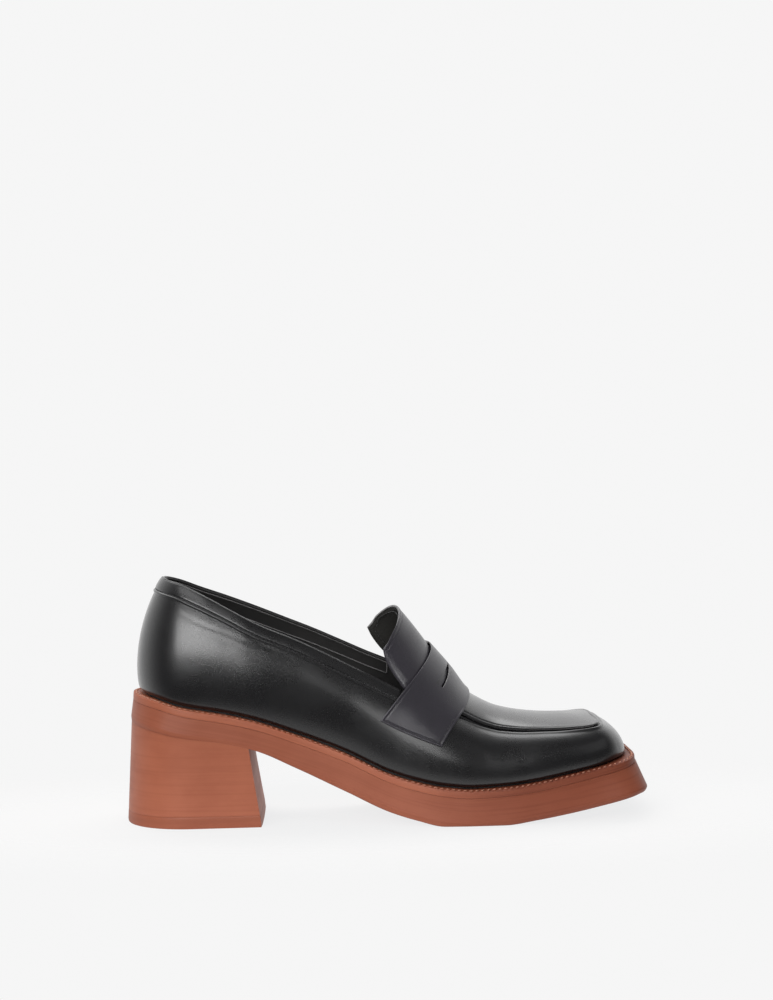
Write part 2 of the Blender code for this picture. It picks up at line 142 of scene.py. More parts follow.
class Table:
    """Named columns over x, read between rows by a smooth curve that never overshoots them."""

    def __init__(self, columns: Sequence[str], rows: Sequence[Sequence[float]]) -> None:
        """Keeps the columns and the slope of each at every row.

        Args:
            columns: The name of the first column, x, and of the others.
            rows: The numbers, one row for each x.
        """
        data = np.array(rows, float).T
        self.x = data[0]
        self.values = dict(zip(columns[1:], data[1:]))
        self.slopes = {name: self.row_slopes(column) for name, column in self.values.items()}

    def row_slopes(self, column: Array) -> Array:
        """Finds slopes that keep the curve between its rows.

        Args:
            column: The numbers of one column.

        Returns:
            The slope at each row.
        """
        step = np.diff(self.x)
        rise = np.diff(column) / step
        slopes = np.concatenate(([rise[0]], np.zeros(len(rise) - 1), [rise[-1]]))
        for i in range(1, len(rise)):
            if rise[i - 1] * rise[i] > 0:
                before = 2 * step[i] + step[i - 1]
                after = step[i] + 2 * step[i - 1]
                slopes[i] = (before + after) / (before / rise[i - 1] + after / rise[i])
        return slopes

    def at(self, name: str, x: Array) -> Array:
        """Reads a column.

        Args:
            name: The column.
            x: Where to read it, in millimetres.

        Returns:
            Its value at each x.
        """
        column, slopes = self.values[name], self.slopes[name]
        x = np.clip(x, self.x[0], self.x[-1])
        i = np.clip(np.searchsorted(self.x, x, side="right") - 1, 0, len(self.x) - 2)
        h = self.x[i + 1] - self.x[i]
        t = (x - self.x[i]) / h
        rise = column[i + 1] - column[i]
        start, end = slopes[i] * h, slopes[i + 1] * h
        return column[i] + t * (start + t * (3 * rise - 2 * start - end + t * (start + end - 2 * rise)))


# The welt's half widths, its top, the sole's underside, and how far the sole's side stands out below
SOLE = Table(("x", "lateral", "medial", "top", "bottom", "flare"), (
    (0.0, 33.0, 33.0, 66.9, 52.0, 3.6),
    (12.0, 33.0, 33.0, 64.9, 49.5, 2.4),
    (25.0, 33.0, 33.0, 61.3, 46.6, 1.0),
    (48.0, 33.0, 32.5, 57.1, 43.0, 0.5),
    (62.0, 33.0, 31.0, 53.8, 39.5, 0.5),
    (84.0, 32.5, 28.0, 46.1, 29.4, 0.5),
    (108.0, 34.5, 26.5, 36.7, 17.6, 0.5),
    (131.0, 39.5, 31.5, 25.9, 6.8, 0.7),
    (143.0, 42.8, 36.5, 22.3, 3.2, 0.8),
    (158.0, 45.5, 41.5, 19.2, 0.0, 1.0),
    (172.0, 46.5, 44.5, 18.1, 0.0, 1.0),
    (188.0, 46.3, 46.0, 18.8, 0.0, 1.0),
    (204.0, 44.8, 46.0, 20.5, 1.9, 1.4),
    (222.0, 41.8, 44.0, 23.6, 4.6, 2.2),
    (240.0, 38.0, 41.0, 27.0, 8.0, 3.8),
    (258.5, 35.0, 38.0, 31.2, 12.2, 6.2),
))

# The topline and, forward of the strap, the apron seam: half width and heights on either side
TOPLINE = Table(("x", "half", "lateral", "medial"), (
    (19.5, 20.5, 124.2, 124.2),
    (28.0, 21.0, 121.8, 121.3),
    (38.4, 22.0, 116.9, 117.0),
    (52.0, 23.5, 109.3, 112.0),
    (66.0, 25.0, 101.8, 106.5),
    (84.5, 26.3, 94.0, 98.8),
    (97.0, 27.0, 88.0, 93.6),
    (112.0, 27.5, 80.4, 86.8),
    (124.6, 28.0, 74.0, 81.0),
    (138.0, 28.3, 67.3, 75.2),
    (152.5, 28.6, 60.6, 66.0),
    (167.0, 29.0, 53.2, 56.2),
    (178.8, 29.2, 47.9, 49.6),
    (188.0, 29.3, 45.5, 46.4),
    (201.7, 29.2, 44.4, 44.7),
    (214.7, 28.8, 44.4, 44.4),
    (229.0, 28.2, 45.0, 45.0),
    (241.2, 27.5, 46.6, 46.6),
))

# The arches that close the forefoot over the foot: where each crosses the ridge, and its roundness
ARCHES = Table(("x", "ridge_x", "ridge_z", "roundness"), (
    (138.0, 153.8, 85.2, 0.55),
    (152.5, 163.8, 73.6, 0.55),
    (167.0, 173.3, 61.2, 0.60),
    (176.0, 180.6, 56.6, 0.68),
    (188.0, 190.0, 52.4, 0.78),
    (201.7, 202.5, 49.6, 0.85),
    (214.7, 215.0, 48.2, 0.90),
    (229.0, 229.0, 47.6, 0.90),
    (241.2, 241.2, 46.8, 0.90),
))

# The tongue above the strap, from the strap's rear edge (0) to its tip (1): side edges and ridge
TONGUE_COLUMNS = ("share", "side_y", "lateral_x", "lateral_z", "medial_x", "medial_z", "ridge_x", "ridge_z")
TONGUE = Table(TONGUE_COLUMNS, (
    (0.0, 27.6, 138.0, 69.3, 138.0, 76.6, 153.8, 85.2),
    (0.35, 25.2, 133.4, 76.2, 132.2, 82.6, 149.3, 91.6),
    (0.7, 23.6, 130.0, 83.2, 127.6, 89.0, 144.2, 98.3),
    (1.0, 22.8, 128.9, 88.6, 125.2, 94.0, 138.1, 105.8),
))

# How far the wall swells past the straight line from sole to topline, and how much of it is upwards
SWELL = Table(("x", "amount", "lift"), (
    (10.0, 6.2, 0.0),
    (40.0, 5.6, 0.0),
    (80.0, 4.4, 0.0),
    (125.0, 4.6, 0.14),
    (165.0, 6.0, 0.42),
    (200.0, 6.0, 0.55),
    (235.0, 4.6, 0.64),
    (250.0, 3.6, 0.66),
))
SWELL_FULLNESS = 0.8


@dataclass
class Outline:
    """A closed plan shape between rounded ends: a point on it is a share r of its length and v across."""

    back: float
    front: float
    half: Callable[[str, Array], Array]
    back_cap: tuple[float, float]
    front_cap: tuple[float, float]
    skew: float = 0.0
    end_share: float = 0.3
    start: float = field(init=False)
    end: float = field(init=False)

    def __post_init__(self) -> None:
        """Finds where the straight rows start and end."""
        self.start = self.back + self.back_cap[0] * (1 - self.corner(self.back_cap))
        self.end = self.front - self.front_cap[0] * (1 - self.corner(self.front_cap))

    @staticmethod
    def corner(cap: tuple[float, float]) -> float:
        """How far out a cap's corner stands, as a share."""
        return 0.5 ** (1 / cap[1])

    def cap_width(self, x: Array) -> Array:
        """Narrows the outline towards its rounded ends.

        Args:
            x: Places along the shoe.

        Returns:
            The share of the full width that is left at each.
        """
        width = np.ones_like(x)
        for reach, cap in ((x - self.back, self.back_cap), (self.front - x, self.front_cap)):
            inside = np.clip(1 - reach / cap[0], 0.0, 1.0)
            width = width * (1 - inside ** cap[1]) ** (1 / cap[1])
        return width

    def share(self, x: float) -> float:
        """The share r of the length at which the outline's rows cross x."""
        return (x - self.start) / (self.end - self.start)

    def end_reach(self, cap: tuple[float, float], v: Array) -> Array:
        """How far a cap stands out past its corner, v across it."""
        corner = self.corner(cap)
        return cap[0] * ((1 - (corner * np.abs(v)) ** cap[1]) ** (1 / cap[1]) - corner)

    def point(self, r: Array, v: Array) -> tuple[Array, Array]:
        """Places points inside or on the outline.

        Args:
            r: Shares of the length.
            v: Shares of the half width, from -1 on the lateral side to 1 on the medial side.

        Returns:
            Their x and y.
        """
        r, v = np.broadcast_arrays(np.asarray(r, float), np.asarray(v, float))
        x = mix(self.start, self.end, r)
        half = np.where(v < 0, self.half(Side.LATERAL.value, x), self.half(Side.MEDIAL.value, x))
        y = v * half * self.cap_width(x)
        to_back = np.maximum(0.0, 1 - r / self.end_share)
        to_front = np.maximum(0.0, 1 - (1 - r) / self.end_share)
        x = x - to_back ** 2 * self.end_reach(self.back_cap, v)
        x = x + to_front ** 2 * self.end_reach(self.front_cap, v)
        return x + self.skew * y * to_front, y


def sole_outline(inset: float) -> Outline:
    """The welt's plan, drawn in by an inset."""
    return Outline(
        SOLE_BACK + inset, SOLE_FRONT - inset, lambda side, x: SOLE.at(side, x) - inset, BACK_CAP, (24.0, 4.2)
    )


FEATHER = Outline(7.2, 254.9, lambda side, x: SOLE.at(side, x) - WELT_MARGIN, (29.0, 2.2), (26.0, 2.9))
COLLAR = Outline(19.5, 241.2, lambda side, x: TOPLINE.at("half", x), (24.0, 2.3), (10.0, 3.6))
THROAT_R = COLLAR.share(THROAT_X)
FRONT_R = COLLAR.share(STRAP_FRONT_X)
BAND_END_R = COLLAR.share(BAND_END_X)


def around(rows: Array, columns: Array) -> tuple[Array, Array]:
    """The places round an outline: lateral side to the back, over it, medial side, toe.

    Args:
        rows: Shares of the length, from 0 to 1.
        columns: Shares across, from -1 to 1.

    Returns:
        The shares r and v of each place; the last place is the first again.
    """
    r = np.concatenate((rows[::-1], np.zeros(len(columns) - 1), rows[1:], np.ones(len(columns) - 1)))
    v = np.concatenate((-np.ones(len(rows)), columns[1:], np.ones(len(rows) - 1), columns[-2::-1]))
    return r, v


def even_ring(outline: Outline, count: int) -> tuple[Array, Array]:
    """Places round an outline at even distances.

    Args:
        outline: The outline to follow.
        count: How many places.

    Returns:
        The shares r and v of each place; the last place is the first again.
    """
    r, v = around(np.linspace(0.0, 1.0, 500), crowd(200))
    run = travelled(np.stack(outline.point(r, v), axis=1))
    even = np.linspace(0.0, run[-1], count + 1)
    return np.interp(even, run, r), np.interp(even, run, v)


def travelled(points: Array) -> Array:
    """The distance along a path to each of its points."""
    return np.concatenate(([0.0], np.cumsum(np.linalg.norm(np.diff(points, axis=0), axis=1))))


def arch(r: Array, v: Array) -> Array:
    """Points on the skin that closes the forefoot.

    Args:
        r: Shares of the collar's length.
        v: Shares across, from seam to seam.

    Returns:
        The points, along the last axis.
    """
    r, v = np.broadcast_arrays(np.asarray(r, float), np.asarray(v, float))
    straight = mix(COLLAR.start, COLLAR.end, r)
    x, y = COLLAR.point(r, v)
    height = np.maximum(0.0, 1 - v * v) ** ARCHES.at("roundness", straight)
    lateral, medial = TOPLINE.at("lateral", straight), TOPLINE.at("medial", straight)
    x = x + (ARCHES.at("ridge_x", straight) - straight) * height
    z = mix(lateral, medial, (v + 1) / 2) + (ARCHES.at("ridge_z", straight) - (lateral + medial) / 2) * height
    return np.stack((x, y, z), axis=-1)


def rim(r: Array, v: Array) -> Array:
    """The wall's top edge: topline at the back and sides, apron seam round the toe."""
    x, y = COLLAR.point(r, v)
    z = mix(TOPLINE.at("lateral", x), TOPLINE.at("medial", x), (np.asarray(v) + 1) / 2)
    ahead = (np.broadcast_to(r, x.shape) >= THROAT_R)[..., None]
    return np.where(ahead, arch(r, v), np.stack((x, y, z), axis=-1))


def wall(r: Array, v: Array, t: Array) -> Array:
    """Points on the wall's outside.

    Args:
        r: Shares of the length.
        v: Shares across.
        t: How far up, from the feather edge (0) to the rim (1).

    Returns:
        The points, along the last axis.
    """
    r, v, t = np.broadcast_arrays(np.asarray(r, float), np.asarray(v, float), np.asarray(t, float))
    x, y = FEATHER.point(r, v)
    foot = np.stack((x, y, SOLE.at("top", x) + GAP), axis=-1)
    top = rim(r, v)
    middle = (foot + top) / 2
    outward = middle.copy()
    outward[..., 0] -= np.clip(middle[..., 0], 45.0, 215.0)
    outward[..., 2] = 0.0
    outward /= np.linalg.norm(outward, axis=-1, keepdims=True)
    outward[..., 2] = SWELL.at("lift", middle[..., 0])
    outward /= np.linalg.norm(outward, axis=-1, keepdims=True)
    swell = SWELL.at("amount", middle[..., 0]) * np.maximum(0.0, 4 * t * (1 - t)) ** SWELL_FULLNESS
    return mix(foot, top, t[..., None]) + outward * swell[..., None]


def wall_height(r: Array, v: Array) -> Array:
    """The straight distance from the feather edge to the rim."""
    return np.linalg.norm(wall(r, v, 1.0) - wall(r, v, 0.0), axis=-1)


def tongue(share: Array, u: Array) -> Array:
    """Points on the tongue above the strap.

    Args:
        share: From the strap's rear edge (0) to the tip (1).
        u: Across it, from edge to edge.

    Returns:
        The points, along the last axis.
    """
    share, u = np.broadcast_arrays(np.asarray(share, float), np.asarray(u, float))
    height = np.sqrt(np.maximum(0.0, 1 - u * u))
    low = {axis: TONGUE.at("lateral_" + axis, share) for axis in "xz"}
    high = {axis: TONGUE.at("medial_" + axis, share) for axis in "xz"}
    x, z = (
        mix(low[axis], high[axis], (u + 1) / 2)
        + (TONGUE.at("ridge_" + axis, share) - (low[axis] + high[axis]) / 2) * height
        for axis in "xz"
    )
    return np.stack((x, u * TONGUE.at("side_y", share), z), axis=-1)


def strap(share: Array, w: Array) -> Array:
    """Points under the strap.

    Args:
        share: From its rear edge (0) to its front edge (1).
        w: From end to end, -1 to 1.

    Returns:
        The points, along the last axis.
    """
    share, w = np.broadcast_arrays(np.asarray(share, float), np.asarray(w, float))
    base = mix(STRAP_REAR_X, STRAP_FRONT_X, share)
    down = np.maximum(0.0, (np.abs(w) - STRAP_ARCH_SHARE) / (1 - STRAP_ARCH_SHARE))
    over = arch(COLLAR.share(base), np.clip(w / STRAP_ARCH_SHARE, -1.0, 1.0))
    drop = mix(STRAP_DROP_REAR, STRAP_DROP_FRONT, share) * down
    side = wall(COLLAR.share(base - STRAP_SWEEP * down), np.where(w < 0, -1.0, 1.0), 1 - drop)
    return np.where((down > 0)[..., None], side, over)


def normals(points: Array) -> Array:
    """The unit normals of a sheet of points, towards the outside of the shoe."""
    across = np.cross(np.gradient(points, axis=0), np.gradient(points, axis=1))
    return across / np.maximum(np.linalg.norm(across, axis=2, keepdims=True), 1e-9)


def raised(points: Array, distance: Array) -> Array:
    """Moves each point of a sheet outwards by its distance."""
    return points + normals(points) * np.broadcast_to(distance, points.shape[:2])[..., None]


def lifted(surface: Surface, a: Array, b: Array, height: float) -> tuple[Array, Array]:
    """Follows a line on a surface, at a height above it.

    Args:
        surface: The surface.
        a: The line's first coordinate on it.
        b: The line's second coordinate on it.
        height: The height in millimetres.

    Returns:
        The line's points and the surface's normals there.
    """
    step = 0.004
    along = surface(a + step, b) - surface(a - step, b)
    across = surface(a, b + step) - surface(a, b - step)
    up = np.cross(along, across)
    up /= np.maximum(np.linalg.norm(up, axis=-1, keepdims=True), 1e-9)
    return surface(a, b) + up * height, up


def to_edges(points: Array, rear: bool, front: bool) -> Array:
    """How far each point of a sheet lies inside its edges.

    Args:
        points: The sheet, rows by columns.
        rear: Whether its first row is an edge.
        front: Whether its last row is an edge.

    Returns:
        The distance to the nearest edge, along rows and columns.
    """
    over = np.cumsum(np.linalg.norm(np.diff(points, axis=1, prepend=points[:, :1]), axis=2), axis=1)
    near = np.minimum(over, over[:, -1:] - over)
    down = np.cumsum(np.linalg.norm(np.diff(points, axis=0, prepend=points[:1]), axis=2), axis=0)
    if rear:
        near = np.minimum(near, down)
    if front:
        near = np.minimum(near, down[-1:] - down)
    return near


@dataclass(frozen=True)
class Hem:
    """The relief along a cut or folded edge: a rounded brink and the groove that holds the stitches."""

    brink: float = 0.5
    drop: float = 0.25
    groove_at: float = 1.6
    groove_depth: float = 0.28
    groove_width: float = 0.5
    puff: float = 0.12

    def relief(self, inside: Array) -> Array:
        """The height over the plain sheet, by the distance inside its edge."""
        brink = -self.drop * np.clip(1 - inside / self.brink, 0.0, 1.0) ** 2
        groove = -self.groove_depth * bell(inside - self.groove_at, self.groove_width)
        return brink + groove + self.puff * bell(inside - self.groove_at * 0.5, self.groove_at * 0.4)


@dataclass(frozen=True)
class Sewing:
    """A row of stitches: the distance between them, the size of one, and how it slants."""

    pitch: float
    length: float
    width: float
    slant: float = 0.0
    sunk: float = 0.0


class Shade:
    """A number carried by a shader socket, on which arithmetic adds Math nodes."""

    def __init__(self, graph: "Graph", socket: bpy.types.NodeSocket) -> None:
        """Keeps the socket and the graph that it belongs to."""
        self.graph = graph
        self.socket = socket

    def through(self, operation: str, *values: "Shade | float") -> "Shade":
        """Adds one Math node, fed with the values in order."""
        made = self.graph.node("ShaderNodeMath", {"operation": operation}, dict(enumerate(values)))
        return Shade(self.graph, made.outputs[0])

    def __add__(self, other: "Shade | float") -> "Shade":
        """Adds."""
        return self.through("ADD", self, other)

    def __radd__(self, other: float) -> "Shade":
        """Adds to a plain number."""
        return self.through("ADD", other, self)

    def __sub__(self, other: "Shade | float") -> "Shade":
        """Subtracts."""
        return self.through("SUBTRACT", self, other)

    def __mul__(self, other: "Shade | float") -> "Shade":
        """Multiplies."""
        return self.through("MULTIPLY", self, other)

    def between(self, low: float, high: float) -> "Shade":
        """Rises smoothly from 0 at low to 1 at high."""
        inputs = {"Value": self, "From Min": low, "From Max": high}
        made = self.graph.node("ShaderNodeMapRange", {"interpolation_type": "SMOOTHSTEP"}, inputs)
        return Shade(self.graph, made.outputs["Result"])


class Graph:
    """A node tree in the making."""

    def __init__(self, tree: bpy.types.NodeTree) -> None:
        """Empties the tree and keeps it."""
        tree.nodes.clear()
        self.tree = tree

    def node(
        self,
        kind: str,
        settings: dict[str, object] | None = None,
        inputs: dict[str | int, object] | None = None,
    ) -> bpy.types.Node:
        """Adds a node.

        Args:
            kind: The node's type.
            settings: Its properties, set first.
            inputs: The value or link of each socket, by name or place.

        Returns:
            The node.
        """
        made = self.tree.nodes.new(kind)
        for key, value in (settings or {}).items():
            setattr(made, key, value)
        for key, value in (inputs or {}).items():
            self.feed(made.inputs[key], value)
        return made

    def feed(self, socket: bpy.types.NodeSocket, value: object) -> None:
        """Links a socket to a shade or a socket, or sets it to a plain value."""
        if isinstance(value, Shade):
            value = value.socket
        if isinstance(value, bpy.types.NodeSocket):
            self.tree.links.new(value, socket)
        else:
            socket.default_value = value


class Recipe(Graph):
    """One material in the making: its nodes, and the shader that they feed."""

    def __init__(self, name: str) -> None:
        """Starts the material with a bare shader.

        Args:
            name: The material's name.
        """
        self.material = bpy.data.materials.new(name)
        self.material.use_nodes = True
        super().__init__(self.material.node_tree)
        self.shader = self.node("ShaderNodeBsdfPrincipled")
        self.output = self.node("ShaderNodeOutputMaterial", inputs={"Surface": self.shader.outputs[0]})
        self.place = self.node("ShaderNodeTexCoord").outputs["Object"]

    def along(self, axis: str) -> Shade:
        """One of the object coordinates, in metres."""
        parts = self.node("ShaderNodeSeparateXYZ", inputs={"Vector": self.place})
        return Shade(self, parts.outputs[axis])

    def set(self, **inputs: object) -> None:
        """Sets the shader's sockets; an underscore in a name stands for a space."""
        for key, value in inputs.items():
            self.feed(self.shader.inputs[key.replace("_", " ")], value)

    def stretched(self, stretch: Colour) -> bpy.types.NodeSocket:
        """Object coordinates, drawn out by a factor on each axis."""
        if stretch == (1.0, 1.0, 1.0):
            return self.place
        return self.node("ShaderNodeMapping", inputs={"Vector": self.place, "Scale": stretch}).outputs[0]

    def noise(
        self,
        cell: float,
        detail: float = 2.0,
        stretch: Colour = (1.0, 1.0, 1.0),
        where: bpy.types.NodeSocket | None = None,
    ) -> Shade:
        """A soft noise.

        Args:
            cell: The size of its blots, in millimetres.
            detail: How many finer layers it has.
            stretch: Factors on the coordinates.
            where: A vector socket to read in place of object coordinates.

        Returns:
            Its value, about 0 to 1.
        """
        place = where or self.stretched(stretch)
        inputs = {"Vector": place, "Scale": 1000 / cell, "Detail": detail, "Roughness": 0.55}
        return Shade(self, self.node("ShaderNodeTexNoise", inputs=inputs).outputs[0])

    def cells(self, size: float) -> Shade:
        """The pebbles of a grain: 0 in the creases between them, 1 on top.

        Args:
            size: The size of one, in millimetres.

        Returns:
            The height.
        """
        inputs = {"Vector": self.place, "Scale": 1000 / size}
        made = self.node("ShaderNodeTexVoronoi", {"feature": "DISTANCE_TO_EDGE"}, inputs)
        return Shade(self, made.outputs["Distance"]).between(0.0, 0.35)

    def attribute(self, name: str) -> Shade:
        """A number that the mesh carries."""
        return Shade(self, self.node("ShaderNodeAttribute", {"attribute_name": name}).outputs["Fac"])

    def blend(self, share: Shade | float, first: object, second: object) -> bpy.types.NodeSocket:
        """Mixes two colours.

        Args:
            share: How much of the second.
            first: A colour, or a socket that carries one.
            second: The same.

        Returns:
            The mixed colour.
        """
        colours = [(*c, 1.0) if isinstance(c, tuple) else c for c in (first, second)]
        inputs = {0: share, 6: colours[0], 7: colours[1]}
        return self.node("ShaderNodeMix", {"data_type": "RGBA"}, inputs).outputs[2]

    def relief(self, height: Shade, depth: float, under: object = None) -> bpy.types.NodeSocket:
        """Turns a height into a bumped normal.

        Args:
            height: The height, 0 to 1.
            depth: Its depth in millimetres.
            under: A coarser relief's normal, which this one is laid over.

        Returns:
            The normal.
        """
        inputs = {"Height": height, "Distance": depth * MM, "Strength": 1.0}
        if under is not None:
            inputs["Normal"] = under
        return self.node("ShaderNodeBump", inputs=inputs).outputs[0]


@dataclass(frozen=True)
class BlackLeather:
    """Smooth polished calf: a fine pebbled grain, cloudy gloss and a thin coat."""

    name: str
    colour: Colour
    cloud_colour: Colour
    roughness: float = 0.3
    grain: float = 0.95
    grain_depth: float = 0.04
    coat: float = 0.5
    coat_roughness: float = 0.2
    crest: bool = False

    def material(self) -> bpy.types.Material:
        """Makes the material.

        Returns:
            The material.
        """
        recipe = Recipe(self.name)
        pebbles = recipe.cells(self.grain)
        pores = recipe.noise(self.grain * 0.4, 1.0)
        clouds = recipe.noise(26.0, 3.0).between(0.3, 0.7)
        streaks = recipe.noise(5.0, 2.0)
        crest = recipe.relief(self.crest_height(recipe), 1.0) if self.crest else None
        form = recipe.relief(streaks, 0.04, crest)
        recipe.set(
            Base_Color=recipe.blend(clouds * 0.6 + pebbles * 0.25, self.colour, self.cloud_colour),
            Roughness=self.roughness - 0.04 + clouds * 0.05 + streaks * 0.05 - pebbles * 0.04,
            Coat_Weight=self.coat,
            Coat_Roughness=self.coat_roughness,
            Specular_IOR_Level=0.5,
            Normal=recipe.relief(pebbles * 0.7 + pores * 0.3, self.grain_depth, form),
        )
        return recipe.material

    @staticmethod
    def crest_height(recipe: Recipe) -> Shade:
        """The soft crest where the counter ends, in millimetres over the length of the shoe."""
        along = recipe.along("X")
        first, *others = [along.between(start, end) * height for start, end, height in CREST]
        return sum(others, start=first)


@dataclass(frozen=True)
class SoftLining:
    """Matt lining leather with a loose short grain."""

    name: str
    colour: Colour
    worn_colour: Colour
    roughness: float = 0.68

    def material(self) -> bpy.types.Material:
        """Makes the material.

        Returns:
            The material.
        """
        recipe = Recipe(self.name)
        grain = recipe.cells(1.3)
        nap = recipe.noise(0.5, 2.0)
        clouds = recipe.noise(18.0, 2.0).between(0.35, 0.65)
        recipe.set(
            Base_Color=recipe.blend(clouds * 0.7 + nap * 0.3, self.colour, self.worn_colour),
            Roughness=self.roughness + nap * 0.12 - clouds * 0.05,
            Normal=recipe.relief(grain * 0.6 + nap * 0.4, 0.05),
        )
        return recipe.material


@dataclass(frozen=True)
class CutEdge:
    """The raw cut edge of black leather: paler, fibrous and dull."""

    name: str
    colour: Colour
    fibre_colour: Colour

    def material(self) -> bpy.types.Material:
        """Makes the material.

        Returns:
            The material.
        """
        recipe = Recipe(self.name)
        fibres = recipe.noise(0.4, 2.0, (1.0, 1.0, 2.5))
        recipe.set(
            Base_Color=recipe.blend(fibres.between(0.35, 0.7), self.colour, self.fibre_colour),
            Roughness=0.55 + fibres * 0.2,
            Normal=recipe.relief(fibres, 0.08),
        )
        return recipe.material


@dataclass(frozen=True)
class CognacLeather:
    """Burnished sole leather: pressed layers that run along the edge, warm clouds and a waxed gloss, and
    painted shade that darkens it towards the toe where asked.
    """

    name: str
    colour: Colour
    dark_colour: Colour
    warm_colour: Colour
    layer: float = 1.1
    layer_depth: float = 0.03
    roughness: float = 0.5
    coat: float = 0.04
    follows: str = ""
    run: float = 0.02
    # Painted shade: how much of the dark colour is laid on towards the toe, where the key light falls off,
    # and over which span of x in metres.
    painted_toe_shade: float = 0.0
    painted_shade_span: tuple[float, float] = (-0.01, 0.07)

    def material(self) -> bpy.types.Material:
        """Makes the material.

        Returns:
            The material.
        """
        recipe = Recipe(self.name)
        layers = self.layers(recipe)
        clouds = recipe.noise(17.0, 3.0, (1.0, 1.0, 1.6)).between(0.3, 0.7)
        pores = recipe.noise(0.6, 2.0)
        shades = recipe.blend(clouds * 0.8, self.colour, self.warm_colour)
        # Painted shade: darker towards the toe, where the key light falls off; the layers and pores add their
        # own real darkening.
        toe = recipe.along("X").between(*self.painted_shade_span) * self.painted_toe_shade
        dark = layers.between(0.42, 0.72) * 0.2 + pores * 0.08 + toe
        recipe.set(
            Base_Color=recipe.blend(dark, shades, self.dark_colour),
            Roughness=self.roughness + layers * 0.06 + pores * 0.05 - clouds * 0.05,
            Coat_Weight=self.coat,
            Coat_Roughness=0.3,
            Specular_IOR_Level=0.33,
            Normal=recipe.relief(layers * 0.7 + pores * 0.3, self.layer_depth),
        )
        return recipe.material

    def layers(self, recipe: Recipe) -> Shade:
        """Draws the layers level, or along the edge where the mesh carries its depth.

        Args:
            recipe: The material in the making.

        Returns:
            Their strength.
        """
        if not self.follows:
            return recipe.noise(self.layer, 3.0, (self.run, self.run, 1.0))
        inputs = {axis: recipe.along(axis) * self.run for axis in "XY"}
        inputs["Z"] = recipe.attribute(self.follows) * MM
        drawn = recipe.node("ShaderNodeCombineXYZ", inputs=inputs)
        return recipe.noise(self.layer, 3.0, where=drawn.outputs[0])


@dataclass(frozen=True)
class WaxedThread:
    """Waxed thread with a soft gloss."""

    name: str
    colour: Colour
    shade_colour: Colour
    roughness: float = 0.5

    def material(self) -> bpy.types.Material:
        """Makes the material.

        Returns:
            The material.
        """
        recipe = Recipe(self.name)
        twist = recipe.noise(0.5, 1.0)
        recipe.set(
            Base_Color=recipe.blend(twist.between(0.3, 0.7), self.colour, self.shade_colour),
            Roughness=self.roughness + twist * 0.1,
            Normal=recipe.relief(twist, 0.06),
        )
        return recipe.material


@dataclass
class Finishes:
    """Every finish of the shoe, each made once."""

    upper: bpy.types.Material = field(init=False)
    strap: bpy.types.Material = field(init=False)
    lining: bpy.types.Material = field(init=False)
    tongue_lining: bpy.types.Material = field(init=False)
    cut_edge: bpy.types.Material = field(init=False)
    black_thread: bpy.types.Material = field(init=False)
    pale_thread: bpy.types.Material = field(init=False)
    welt: bpy.types.Material = field(init=False)
    sole: bpy.types.Material = field(init=False)
    heel: bpy.types.Material = field(init=False)
    top_lift: bpy.types.Material = field(init=False)

    def __post_init__(self) -> None:
        """Makes the materials."""
        self.upper = BlackLeather(
            "black_calf", (0.005, 0.0048, 0.0054), (0.0075, 0.0072, 0.0081), crest=True
        ).material()
        # Painted sheen: the strap and tongue are the upper's black calf, given a base colour about four times
        # the upper's and a little bluer, to stand in for the grey light that they catch.
        self.strap = BlackLeather(
            "black_calf_strap", (0.022, 0.0196, 0.026), (0.03, 0.0268, 0.0355),
            roughness=0.38, coat=0.2, crest=True,
        ).material()
        self.lining = SoftLining("black_lining", (0.008, 0.0075, 0.0075), (0.014, 0.013, 0.0125)).material()
        self.tongue_lining = SoftLining(
            "tongue_lining", (0.011, 0.0105, 0.009), (0.017, 0.016, 0.014), roughness=0.8
        ).material()
        self.cut_edge = CutEdge("cut_edge", (0.12, 0.116, 0.12), (0.3, 0.29, 0.29)).material()
        self.black_thread = WaxedThread("black_thread", (0.055, 0.055, 0.058), (0.02, 0.02, 0.02)).material()
        self.pale_thread = WaxedThread("pale_thread", (0.46, 0.21, 0.14), (0.32, 0.12, 0.07)).material()
        # The welt and sole carry painted shade: darker towards the toe, where the key light falls off.
        self.welt = CognacLeather(
            "welt_cognac", (0.34, 0.098, 0.049), (0.12, 0.024, 0.01), (0.375, 0.115, 0.058),
            layer=1.4, follows="depth", painted_toe_shade=0.65,
        ).material()
        self.sole = CognacLeather(
            "sole_cognac", (0.28, 0.077, 0.037), (0.14, 0.027, 0.01), (0.31, 0.09, 0.046),
            follows="depth", painted_toe_shade=0.45,
        ).material()
        self.heel = CognacLeather(
            "heel_cognac", (0.32, 0.091, 0.045), (0.205, 0.05, 0.024), (0.36, 0.108, 0.055), layer=1.5
        ).material()
        self.top_lift = CognacLeather(
            "top_lift_cognac", (0.268, 0.072, 0.034), (0.17, 0.041, 0.019), (0.3, 0.085, 0.042), layer=2.4
        ).material()


